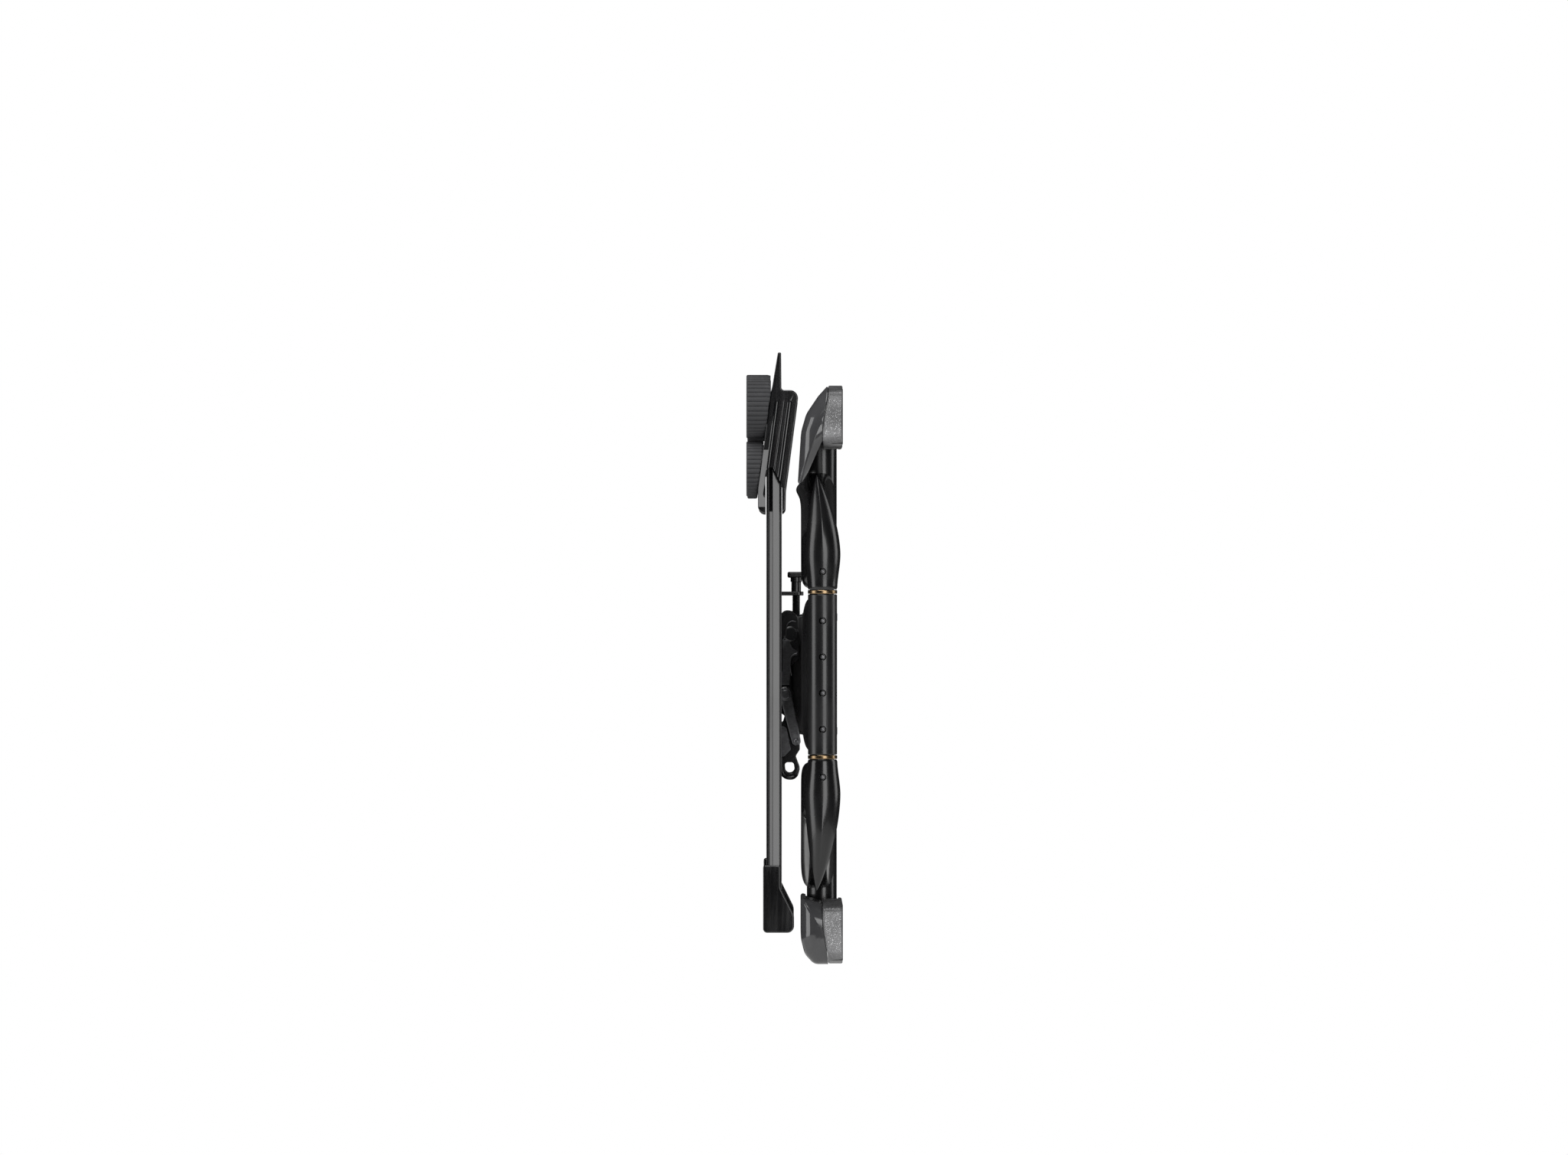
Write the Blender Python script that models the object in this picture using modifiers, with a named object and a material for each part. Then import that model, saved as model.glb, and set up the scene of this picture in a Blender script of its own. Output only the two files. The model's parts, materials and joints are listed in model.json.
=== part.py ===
"""Full motion television wall mount, folded flat against the wall.

X runs along the wall, +Y points into the wall and +Z is up. The wall face is the plane Y = 0
and the origin is the middle of the mount on that face. A depth is a distance out from the wall,
so a point at a depth d lies at Y = -d.
"""
import math

import bmesh
import bpy
from mathutils import Matrix, Vector

# Driving dimensions, in metres
MOUNT_WIDTH = 0.260
MOUNT_HALF_HEIGHT = 0.2145
COVER_DEPTH = 0.0312
COVER_SPLIT = 0.0133
COVER_EDGE = 0.1680
LIP_DEPTH = 0.0338
SHEET = 0.0025
FIT_GAP = 0.0003
WELD_GAP = 0.0015
ARM_DEPTH = 0.0153
SHOULDER_X = -0.060
ELBOW_X = 0.245
PAN_X = 0.0
BARREL_RADIUS = 0.0107
BARREL_MIDDLE = 0.0007
BARREL_HALF = 0.0590
RING_THICKNESS = 0.0028
TILT_DEPTH = 0.0425
TILT_Z = -0.0150
CHEEK_X = 0.0515
CARRIER_DEPTH = 0.0490
CARRIER_THICKNESS = 0.0022
RAIL_X = 0.200
RAIL_BACK = 0.0453
RAIL_FRONT = 0.0566
RAIL_WIDTH = 0.030
RAIL_TOP = 0.160
RAIL_BOTTOM = -0.158
CROSSBAR_Z = 0.0935
HORN_LEAN = math.tan(math.radians(7.6))
HORN_TOP = 0.2090
HORN_BOTTOM = 0.1195
HORN_FRONT = 0.0532
HORN_BACK = 0.0317
BRACKET_HALF = 0.0190
BRACKET_WALL = 0.0020
FOOT_FRONT = 0.0590
SPACER_FRONT = 0.0713
SCREW_HEIGHTS = {"top": 0.1979, "upper": 0.1520, "lower": -0.1480}
BARREL_SCREWS = (0.0402, 0.0136, -0.0130, -0.0396)
KNUCKLE_SCREWS = {1: 0.0764, -1: -0.0747}
LEVEL_X = -0.040
LEVEL_DEPTH = 0.0345
FOREARM_BELLY = 0.0060
LIMB_ROOT = {1: (0.1262, 0.0245), -1: (0.1320, 0.0290)}

# The named materials: colour, metallic, roughness
FINISHES = {
    "gloss_black_paint": ((0.012, 0.012, 0.013), 0.0, 0.12),
    "satin_black_paint": ((0.020, 0.020, 0.021), 0.0, 0.35),
    "gloss_black_plastic": ((0.045, 0.045, 0.047), 0.0, 0.10),
    "dark_steel": ((0.16, 0.16, 0.17), 1.0, 0.30),
    "bronze": ((0.42, 0.29, 0.16), 1.0, 0.25),
    "white_nylon": ((0.75, 0.74, 0.70), 0.0, 0.45),
    "charcoal_plastic": ((0.030, 0.030, 0.032), 0.0, 0.60),
}


def clear_scene():
    """Take away whatever the scene holds."""
    for old in list(bpy.data.objects):
        bpy.data.objects.remove(old, do_unlink=True)


def new_collection(name):
    """A collection linked to the scene."""
    group = bpy.data.collections.new(name)
    bpy.context.scene.collection.children.link(group)
    return group


def new_material(name, colour, metallic, roughness):
    """A Principled material with one colour, metallic value and roughness."""
    material = bpy.data.materials.new(name)
    material.use_nodes = True
    shader = material.node_tree.nodes["Principled BSDF"]
    shader.inputs["Base Color"].default_value = (*colour, 1.0)
    shader.inputs["Metallic"].default_value = metallic
    shader.inputs["Roughness"].default_value = roughness
    return material


clear_scene()
PARTS = new_collection("tv_wall_mount")
CUTTERS = new_collection("cutters")
JOINTS = {}


def at(x, depth, z):
    """A point from its place along the wall, its distance out from the wall and its height."""
    return Vector((x, -depth, z))


def joint(name, place, parent=None):
    """An empty on a joint's axis, hung on the joint before it."""
    empty = bpy.data.objects.new(name, None)
    empty.empty_display_size = 0.02
    PARTS.objects.link(empty)
    if parent:
        empty.parent = JOINTS[parent][0]
        empty.location = place - JOINTS[parent][1]
    else:
        empty.location = place
    JOINTS[name] = (empty, place)


def finish(obj, name, material, hung_on):
    """Name a sub-part, give it its own material and hang it on its joint."""
    obj.name = name
    obj.data.name = name
    obj.data.materials.clear()
    colour, metallic, roughness = FINISHES[material]
    obj.data.materials.append(new_material(name + "_" + material, colour, metallic, roughness))
    if hung_on:
        empty, place = JOINTS[hung_on]
        obj.parent = empty
        obj.matrix_parent_inverse = Matrix.Translation(-place)
    for group in list(obj.users_collection):
        group.objects.unlink(obj)
    PARTS.objects.link(obj)
    obj.data.shade_smooth()
    obj.data.set_sharp_from_angle(angle=math.radians(35))
    return obj


def as_cutter(obj, name):
    """Keep a shape only as a tool that cuts or joins others."""
    obj.name = name
    for group in list(obj.users_collection):
        group.objects.unlink(obj)
    CUTTERS.objects.link(obj)
    obj.hide_render = True
    obj.display_type = "WIRE"
    return obj


def combine(obj, tool, operation):
    """Cut a shape with a tool, or join the tool to it."""
    modifier = obj.modifiers.new(tool.name, "BOOLEAN")
    modifier.operation = operation
    modifier.solver = "EXACT"
    modifier.object = as_cutter(tool, tool.name)
    return obj


def cut(obj, *tools):
    for tool in tools:
        combine(obj, tool, "DIFFERENCE")
    return obj


def join(obj, *tools):
    for tool in tools:
        combine(obj, tool, "UNION")
    return obj


def bevel(obj, width, segments=2, angle=40):
    """Round the sharp edges of a shape."""
    modifier = obj.modifiers.new("rounded_edges", "BEVEL")
    modifier.width = width
    modifier.segments = segments
    modifier.limit_method = "ANGLE"
    modifier.angle_limit = math.radians(angle)
    return obj


def box(name, size, centre):
    """A block from its three sizes and its middle."""
    bpy.ops.mesh.primitive_cube_add(size=1.0, location=centre)
    obj = bpy.context.object
    obj.name = name
    obj.data.transform(Matrix.Diagonal((*size, 1.0)))
    return obj


TURNS = {"X": (0.0, math.pi / 2, 0.0), "Y": (math.pi / 2, 0.0, 0.0), "Z": (0.0, 0.0, 0.0)}


def cylinder(name, radius, length, centre, axis="Z", sides=20):
    """A round bar along one of the three axes."""
    bpy.ops.mesh.primitive_cylinder_add(
        vertices=sides, radius=radius, depth=length, location=centre, rotation=TURNS[axis])
    bpy.context.object.name = name
    return bpy.context.object


def turned(name, profile, centre, axis="Z", steps=28):
    """A turned shape. The profile is radius and height, from the top down its outer side."""
    mesh = bpy.data.meshes.new(name)
    points = [(radius, 0.0, height) for radius, height in profile]
    hollow = profile[0][0] > 0 and profile[-1][0] > 0
    edges = [(i, i + 1) for i in range(len(points) - 1)]
    if hollow:
        edges.append((len(points) - 1, 0))
    mesh.from_pydata(points, edges, [])
    obj = bpy.data.objects.new(name, mesh)
    obj.location = centre
    obj.rotation_euler = TURNS[axis]
    PARTS.objects.link(obj)
    screw = obj.modifiers.new("turn", "SCREW")
    screw.axis = "Z"
    screw.steps = steps
    screw.render_steps = steps
    screw.use_merge_vertices = True
    screw.merge_threshold = 0.00001
    return obj


def tube(name, outer, inner, length, centre, axis="Z", steps=28):
    """A round sleeve with an open bore."""
    half = length / 2
    profile = [(inner, half), (outer, half), (outer, -half), (inner, -half)]
    return turned(name, profile, centre, axis, steps)


def rounded(corners, pieces=3):
    """A closed outline whose corners, given as a point and a radius, are turned into arcs."""
    outline = []
    count = len(corners)
    for i, (u, v, radius) in enumerate(corners):
        here = Vector((u, v))
        if radius <= 0:
            outline.append(here)
            continue
        before = Vector(corners[i - 1][:2]) - here
        after = Vector(corners[(i + 1) % count][:2]) - here
        half_angle = before.angle(after) / 2
        reach = radius / math.tan(half_angle)
        start = here + before.normalized() * reach
        end = here + after.normalized() * reach
        bisector = (before.normalized() + after.normalized()).normalized()
        middle = here + bisector * (radius / math.sin(half_angle))
        first = math.atan2(start.y - middle.y, start.x - middle.x)
        sweep = math.atan2(end.y - middle.y, end.x - middle.x) - first
        sweep = (sweep + math.pi) % (2 * math.pi) - math.pi
        for step in range(pieces + 1):
            angle = first + sweep * step / pieces
            outline.append(middle + radius * Vector((math.cos(angle), math.sin(angle))))
    return outline


def slot_outline(u, v, length, width, pieces=6):
    """A long hole with round ends that lies along the first axis."""
    half = (length - width) / 2
    right = [(u + half, v, a) for a in (-90 + 180 * i / pieces for i in range(pieces + 1))]
    left = [(u - half, v, a) for a in (90 + 180 * i / pieces for i in range(pieces + 1))]
    return [Vector((x + width / 2 * math.cos(math.radians(a)),
                    y + width / 2 * math.sin(math.radians(a)))) for x, y, a in right + left]


# A flat outline is drawn in two directions and given its thickness along the third
ALONG_X = Matrix(((0, 0, -1, 0), (-1, 0, 0, 0), (0, 1, 0, 0), (0, 0, 0, 1)))
ALONG_Y = Matrix(((1, 0, 0, 0), (0, 0, -1, 0), (0, 1, 0, 0), (0, 0, 0, 1)))
ALONG_Z = Matrix(((1, 0, 0, 0), (0, -1, 0, 0), (0, 0, -1, 0), (0, 0, 0, 1)))


def extruded(name, outlines, thickness, centre, direction):
    """A plate from its outline, with any holes as further outlines."""
    curve = bpy.data.curves.new(name, "CURVE")
    curve.dimensions = "2D"
    curve.fill_mode = "BOTH"
    curve.extrude = thickness / 2
    for outline in outlines:
        spline = curve.splines.new("POLY")
        spline.points.add(len(outline) - 1)
        for point, (u, v) in zip(spline.points, outline):
            point.co = (u, v, 0.0, 1.0)
        spline.use_cyclic_u = True
    drawn = bpy.data.objects.new(name + "_outline", curve)
    bpy.context.scene.collection.objects.link(drawn)
    bpy.context.view_layer.update()
    graph = bpy.context.evaluated_depsgraph_get()
    mesh = bpy.data.meshes.new_from_object(drawn.evaluated_get(graph))
    bpy.data.objects.remove(drawn, do_unlink=True)
    shape = bmesh.new()
    shape.from_mesh(mesh)
    bmesh.ops.remove_doubles(shape, verts=shape.verts, dist=0.000001)
    bmesh.ops.transform(shape, matrix=direction, verts=shape.verts)
    bmesh.ops.dissolve_limit(
        shape, angle_limit=0.001, verts=shape.verts, edges=shape.edges)
    bmesh.ops.recalc_face_normals(shape, faces=shape.faces)
    shape.to_mesh(mesh)
    shape.free()
    obj = bpy.data.objects.new(name, mesh)
    obj.location = centre
    PARTS.objects.link(obj)
    return obj


def ring_section(x, depth, z, half_depth, half_height, squareness, count=24):
    """A closed section across the arm: a superellipse in the plane that faces along the wall."""
    points = []
    for i in range(count):
        angle = 2 * math.pi * i / count
        c, s = math.cos(angle), math.sin(angle)
        out = math.copysign(abs(c) ** (2 / squareness), c) * half_depth
        up = math.copysign(abs(s) ** (2 / squareness), s) * half_height
        points.append(at(x, depth + out, z + up))
    return points


def lofted(name, sections):
    """A solid skinned over a row of sections that hold the same number of points."""
    shape = bmesh.new()
    rings = [[shape.verts.new(point) for point in section] for section in sections]
    count = len(rings[0])
    for one, two in zip(rings, rings[1:]):
        for i in range(count):
            after = (i + 1) % count
            shape.faces.new((one[i], one[after], two[after], two[i]))
    shape.faces.new(rings[0])
    shape.faces.new(rings[-1])
    bmesh.ops.recalc_face_normals(shape, faces=shape.faces)
    mesh = bpy.data.meshes.new(name)
    shape.to_mesh(mesh)
    shape.free()
    obj = bpy.data.objects.new(name, mesh)
    PARTS.objects.link(obj)
    return obj


def ease(t):
    """A smooth step from 0 to 1."""
    return t * t * (3 - 2 * t)


def between(a, b, t):
    return a + (b - a) * t


# ---------------------------------------------------------------- wall side, which stays still

def wall_rail(side, name):
    """A pressed steel rail on the wall: a flat back, two short lips and slots for the lag bolts."""
    low, high, lip = 0.1710, 0.2115, 0.0090
    profile = [(0, low, 0), (lip, low, 0.001), (lip, low + SHEET, 0), (SHEET, low + SHEET, 0.001),
               (SHEET, high - SHEET, 0.001), (lip, high - SHEET, 0), (lip, high, 0.001), (0, high, 0)]
    outline = [(u, side * v) for u, v in rounded(profile, 2)]
    rail = extruded(name, [outline], MOUNT_WIDTH - 0.010, at(0, 0, 0), ALONG_X)
    for number, x in enumerate((-0.090, 0.0, 0.090)):
        hole = slot_outline(0, 0, 0.030, 0.0085)
        tool = extruded(f"{name}_slot_{number}", [hole], 0.012,
                        at(x, 0.001, side * (low + high) / 2), ALONG_Y)
        cut(rail, tool)
    notch = box(name + "_notch", (0.036, 0.0120, 0.0060), at(SHOULDER_X, 0.0088, side * low))
    cut(rail, notch)
    return finish(rail, name, "satin_black_paint", None)


def cover_profile(side):
    """The side outline of a cover's front shell, outer skin, from its rim round the front."""
    if side > 0:
        return [(COVER_SPLIT, COVER_EDGE, 0), (COVER_SPLIT, MOUNT_HALF_HEIGHT - 0.0004, 0.001),
                (0.0195, 0.2060, 0.010), (0.0270, 0.1930, 0.020), (COVER_DEPTH, 0.1790, 0.020),
                (COVER_DEPTH, 0.1500, 0.010), (LIP_DEPTH, 0.1390, 0.0008), (0.0312, 0.1390, 0.0008)]
    return [(0.0150, -0.1690, 0), (COVER_DEPTH, -0.1640, 0.002), (COVER_DEPTH, -0.1950, 0.020),
            (0.0285, -0.2070, 0.010), (0.0225, -MOUNT_HALF_HEIGHT, 0.004),
            (COVER_SPLIT, -MOUNT_HALF_HEIGHT, 0), (COVER_SPLIT, -0.1700, 0)]


def inset(profile, wall, opening):
    """The inside of a shell's outline: each point drawn in by the wall, the rim left open."""
    middle_z = sum(p[1] for p in profile) / len(profile)
    inner = []
    for u, v, radius in profile:
        depth = u - wall if u > COVER_SPLIT + 0.002 else opening
        height = v - wall if v > middle_z else v + wall
        inner.append((depth, height, max(radius - wall, 0)))
    return inner


def cover_front(side, name):
    """The front shell of a cover, hollow and open to the wall, with a mouth for the arm's root."""
    wall = 0.0020
    profile = cover_profile(side)
    shell = extruded(name, [rounded(profile, 5)], MOUNT_WIDTH, at(0, 0, 0), ALONG_X)
    bevel(shell, 0.0012, 2, 60)
    hollow = extruded(name + "_hollow", [rounded(inset(profile, wall, COVER_SPLIT - 0.004), 5)],
                      MOUNT_WIDTH - 2 * wall, at(0, 0, 0), ALONG_X)
    mouth = box(name + "_mouth", (0.092, 0.0150, 0.035), at(-0.079, 0.0200, side * 0.1675))
    cut(shell, hollow, mouth)
    if side > 0:
        sweep = [Vector(point) for point in (
            (-0.140, 0.1300), (0.070, 0.1300), (0.045, 0.1535), (-0.140, 0.1535))]
        cut(shell, extruded(name + "_sweep", [sweep], 0.0300, at(0, 0.0300, 0), ALONG_Y))
    return finish(shell, name, "gloss_black_plastic", None)


def cover_back(side, name):
    """The rear collar of a cover: a low frame that runs round the rail and meets the shell."""
    wall = 0.0022
    height = MOUNT_HALF_HEIGHT - COVER_EDGE
    middle = side * (MOUNT_HALF_HEIGHT + COVER_EDGE) / 2
    depth = COVER_SPLIT - FIT_GAP
    length = depth - FIT_GAP
    half_w, half_h = MOUNT_WIDTH / 2, height / 2
    outer = [(-half_w, -half_h, 0.004), (half_w, -half_h, 0.004),
             (half_w, half_h, 0.004), (-half_w, half_h, 0.004)]
    inner = [(u - math.copysign(wall, u), v - math.copysign(wall, v), 0.002) for u, v, _ in outer]
    collar = extruded(name, [rounded(outer), rounded(inner)], length,
                      at(0, FIT_GAP + length / 2, middle), ALONG_Y)
    mouth = box(name + "_mouth", (0.092, 0.0300, 0.006), at(-0.079, 0.0180, side * COVER_EDGE))
    cut(collar, mouth)
    return finish(collar, name, "satin_black_paint", None)


def hinge_bracket(side, name):
    """The forged lug that the arm's root turns under, with a foot against the wall rail."""
    lug_low, lug_high = 0.1745, 0.1825
    foot_top = 0.2060
    back = SHEET + FIT_GAP
    half_width = 0.0150
    profile = [(back, lug_low, 0), (0.0280, lug_low, 0.001), (0.0280, lug_high, 0.002),
               (0.0065, lug_high, 0.001), (0.0065, foot_top, 0.001), (back, foot_top, 0)]
    outline = [(u, side * v) for u, v in rounded(profile, 3)]
    lug = extruded(name, [outline], 2 * half_width, at(SHOULDER_X, 0, 0), ALONG_X)
    bore = cylinder(name + "_bore", 0.0043, 0.030, at(SHOULDER_X, ARM_DEPTH, side * lug_low))
    cut(lug, bore)
    return finish(lug, name, "dark_steel", None)


def hinge_pin(side, name):
    """The shoulder pin: a headed pin that goes through the lug into the arm's root."""
    top, foot = 0.1861, 0.1450
    profile = [(0, top), (0.0068, top), (0.0072, top - 0.0006), (0.0072, 0.1828),
               (0.0040, 0.1828), (0.0040, foot + 0.001), (0.0030, foot), (0, foot)]
    pin = turned(name, profile, at(SHOULDER_X, ARM_DEPTH, 0), steps=14)
    if side < 0:
        pin.rotation_euler = (math.pi, 0, 0)
    return finish(pin, name, "dark_steel", None)


def hinge_column():
    """The folded steel column that ties the two wall rails together beside the shoulder."""
    back, front, wall = 0.0093, 0.0215, 0.0025
    left, right = -0.1180, -0.0860
    half = 0.1900
    profile = [(left, back, 0), (left, front, 0.003), (right, front, 0.003), (right, back, 0),
               (right - wall, back, 0), (right - wall, front - wall, 0.0008),
               (left + wall, front - wall, 0.0008), (left + wall, back, 0)]
    column = extruded("hinge_column", [rounded(profile, 3)], 2 * half, at(0, 0, 0), ALONG_Z)
    return finish(column, "hinge_column", "satin_black_paint", None)


# ---------------------------------------------------------------- arm from the shoulder to the elbow

def knuckle_profile():
    """Heights and radii of the elbow knuckle: it swells above the ring, then draws to a point."""
    start = BARREL_MIDDLE + BARREL_HALF + RING_THICKNESS + 2 * FIT_GAP
    wide, tip = start + 0.0260, 0.1470
    foot_radius, wide_radius = BARREL_RADIUS + 0.0002, 0.0133
    profile = []
    for t in (0.0, 0.25, 0.5, 0.75):
        profile.append((between(start, wide, t), between(foot_radius, wide_radius, ease(t))))
    for i in range(9):
        u = 1 - (1 - i / 8) ** 1.5
        profile.append((between(wide, tip, u), wide_radius * (1 - u ** 1.6) ** 0.85))
    return profile


def arm_limb(side, name):
    """One limb of the arm: a round root on the shoulder pin, a sculpted body and an elbow knuckle."""
    stations = 11
    root_z, root_half = LIMB_ROOT[side]
    sections = []
    for i in range(stations):
        t = i / (stations - 1)
        x = between(SHOULDER_X - 0.006, ELBOW_X - 0.002, t)
        lift = 1 - ease(min(t / 0.85, 1.0))
        z = between(0.0857, root_z, lift)
        half_height = between(0.0220, root_half, lift)
        half_depth = between(0.0138, 0.0132, lift) - 0.0012 * math.sin(math.pi * t)
        depth = ARM_DEPTH + 0.0017
        squareness = between(3.4, 4.6, lift)
        sections.append(ring_section(x, depth, side * z, half_depth, half_height, squareness, 20))
    limb = lofted(name, sections)

    outline = [(radius, height) for height, radius in reversed(knuckle_profile())]
    foot = outline[-1][1]
    outline[0] = (0.0, outline[0][1])
    outline.append((0.0, foot))
    knuckle = turned(name + "_knuckle", outline, at(ELBOW_X, ARM_DEPTH, 0), steps=24)
    root = cylinder(name + "_root", 0.0112, 0.070, at(SHOULDER_X, ARM_DEPTH, side * 0.1390))
    shoulder_bore = cylinder(name + "_shoulder_bore", 0.0044, 0.060,
                             at(SHOULDER_X, ARM_DEPTH, side * 0.1720))
    elbow_bore = cylinder(name + "_elbow_bore", 0.0054, 0.060,
                          at(ELBOW_X, ARM_DEPTH, side * 0.0700))
    screw_hole = cylinder(name + "_screw_hole", 0.0025, 0.0100,
                          at(ELBOW_X + 0.0130, ARM_DEPTH, KNUCKLE_SCREWS[side]), "X", 14)
    if side < 0:
        knuckle.rotation_euler = (math.pi, 0, 0)
        knuckle.location.z = 2 * BARREL_MIDDLE
    join(limb, knuckle, root)
    cut(limb, shoulder_bore, elbow_bore, screw_hole)
    return finish(limb, name, "gloss_black_paint", "shoulder_axis")


def spine_tube():
    """The steel tube that holds the two limbs of the arm in line at the shoulder."""
    top = LIMB_ROOT[1][0] - LIMB_ROOT[1][1] - WELD_GAP
    foot = LIMB_ROOT[-1][1] - LIMB_ROOT[-1][0] + WELD_GAP
    tie = tube("spine_tube", 0.0090, 0.0065, top - foot,
               at(SHOULDER_X, ARM_DEPTH, (top + foot) / 2), steps=20)
    return finish(tie, "spine_tube", "satin_black_paint", "shoulder_axis")


def elbow_pin():
    """The long pin through both knuckles and the barrel."""
    pin = cylinder("elbow_pin", 0.0050, 0.180, at(ELBOW_X, ARM_DEPTH, BARREL_MIDDLE), sides=18)
    bevel(pin, 0.0008, 1)
    return finish(pin, "elbow_pin", "dark_steel", "shoulder_axis")


def elbow_ring(side, name):
    """A thrust ring of bronze between a knuckle and the barrel."""
    z = BARREL_MIDDLE + side * (BARREL_HALF + FIT_GAP + RING_THICKNESS / 2)
    ring = tube(name, BARREL_RADIUS + 0.0001, 0.0056, RING_THICKNESS, at(ELBOW_X, ARM_DEPTH, z),
                steps=28)
    return finish(ring, name, "bronze", "shoulder_axis")


def set_screw(name, z, hung_on, reach):
    """A small socket screw set flush in the side of the elbow."""
    outer = ELBOW_X + reach
    length = 0.0038
    screw = cylinder(name, 0.0022, length, at(outer - length / 2, ARM_DEPTH, z), "X", 12)
    socket = cylinder(name + "_socket", 0.0012, 0.0030, at(outer, ARM_DEPTH, z), "X", 6)
    cut(screw, socket)
    return finish(screw, name, "dark_steel", hung_on)


# ---------------------------------------------------------------- forearm from the elbow to the head

def forearm():
    """The forearm casting: the elbow barrel, a deep flat body and the barrel that the head turns on."""
    stations = 9
    sections = []
    for i in range(stations):
        t = i / (stations - 1)
        x = between(ELBOW_X - 0.002, PAN_X + 0.004, t)
        half_height = between(0.0585, 0.0330, ease(t))
        belly = FOREARM_BELLY * ease(min(t / 0.12, 1.0)) * (1 - ease(max(min((t - 0.45) / 0.27, 1.0), 0.0)))
        half_depth = 0.0100 - 0.0012 * math.sin(math.pi * t) + belly / 2
        sections.append(ring_section(x, ARM_DEPTH + belly / 2, BARREL_MIDDLE * (1 - t), half_depth,
                                     half_height, 4.2, 20))
    body = lofted("forearm", sections)
    barrel = cylinder("forearm_barrel", BARREL_RADIUS, 2 * BARREL_HALF,
                      at(ELBOW_X, ARM_DEPTH, BARREL_MIDDLE), sides=32)
    hub = cylinder("forearm_hub", 0.0104, 0.0750, at(PAN_X, ARM_DEPTH, 0))
    join(body, barrel, hub)
    half = BARREL_HALF + 0.002
    seat = BARREL_HALF - 0.0140
    stepped = [(0, half), (0.0078, half), (0.0078, seat), (0.0056, seat),
               (0.0056, -seat), (0.0078, -seat), (0.0078, -half), (0, -half)]
    elbow_bore = turned("forearm_elbow_bore", stepped, at(ELBOW_X, ARM_DEPTH, BARREL_MIDDLE))
    pan_bore = cylinder("forearm_pan_bore", 0.0044, 0.090, at(PAN_X, ARM_DEPTH, 0))
    cut(body, elbow_bore, pan_bore)
    for number, z in enumerate(BARREL_SCREWS):
        hole = cylinder(f"forearm_hole_{number}", 0.0025, 0.0060,
                        at(ELBOW_X + 0.0092, ARM_DEPTH, z), "X", 14)
        cut(body, hole)
    return finish(body, "forearm", "gloss_black_paint", "elbow_axis")


def elbow_bush(side, name):
    """A plain bush pressed into an end of the barrel."""
    length = 0.0130
    z = BARREL_MIDDLE + side * (BARREL_HALF - 0.0004 - length / 2)
    bush = tube(name, 0.0075, 0.0053, length, at(ELBOW_X, ARM_DEPTH, z), steps=18)
    return finish(bush, name, "white_nylon", "elbow_axis")


# ---------------------------------------------------------------- head on the forearm's end

def head_yoke():
    """The head casting: two ears over the forearm's hub, a body and the barrel of the tilt pivot."""
    ear_low, ear_high = 0.0389, 0.0459
    profile = [(0.0265, -0.0459, 0.004), (0.0395, -0.0430, 0.004), (0.0395, 0.0420, 0.006),
               (0.0265, 0.0459, 0.004)]
    body = extruded("head_yoke", [rounded(profile)], 0.0900, at(PAN_X, 0, 0), ALONG_X)
    bevel(body, 0.0020, 2, 60)
    ear_outline = rounded([(-0.0115, 0.0038, 0.0113), (0.0115, 0.0038, 0.0113),
                           (0.0115, 0.0300, 0), (-0.0115, 0.0300, 0)], 8)
    for side in (1, -1):
        ear = extruded(f"head_ear_{side}", [ear_outline], ear_high - ear_low,
                       at(PAN_X, 0, side * (ear_low + ear_high) / 2), ALONG_Z)
        join(body, ear)
    barrel = cylinder("head_barrel", 0.0060, 0.0940, at(PAN_X, TILT_DEPTH, TILT_Z), "X")
    join(body, barrel)
    neck = box("head_neck", (0.0800, 0.0080, 0.0110), at(PAN_X, 0.0390, TILT_Z))
    join(body, neck)
    pan_bore = cylinder("head_pan_bore", 0.0044, 0.110, at(PAN_X, ARM_DEPTH, 0))
    pivot_bore = cylinder("head_pivot_bore", 0.0033, 0.120, at(PAN_X, TILT_DEPTH, TILT_Z), "X")
    cut(body, pan_bore, pivot_bore)
    return finish(body, "head_yoke", "satin_black_paint", "pan_axis")


def pan_pin():
    """The headed pin that the head turns on."""
    profile = [(0, 0.0495), (0.0064, 0.0495), (0.0070, 0.0489), (0.0070, 0.0462), (0.0040, 0.0462),
               (0.0040, -0.0480), (0.0032, -0.0490), (0, -0.0490)]
    pin = turned("pan_pin", profile, at(PAN_X, ARM_DEPTH, 0), steps=14)
    return finish(pin, "pan_pin", "dark_steel", "pan_axis")


def pan_washer(side, name):
    """A thin washer between an ear and the hub."""
    washer = tube(name, 0.0100, 0.0046, 0.0008, at(PAN_X, ARM_DEPTH, side * 0.0382), steps=18)
    return finish(washer, name, "white_nylon", "pan_axis")


def pivot_pin():
    """The rod that the television plate tilts on, with a round head at each side."""
    half = 0.0590
    inner = half - 0.0028
    profile = [(0, half), (0.0032, half), (0.0046, half - 0.0012), (0.0046, inner), (0.0030, inner),
               (0.0030, -inner), (0.0046, -inner), (0.0046, -half + 0.0012), (0.0032, -half),
               (0, -half)]
    pin = turned("pivot_pin", profile, at(0, TILT_DEPTH, TILT_Z), "X", steps=14)
    return finish(pin, "pivot_pin", "dark_steel", "pan_axis")


# ---------------------------------------------------------------- carrier that tilts on the head

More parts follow.
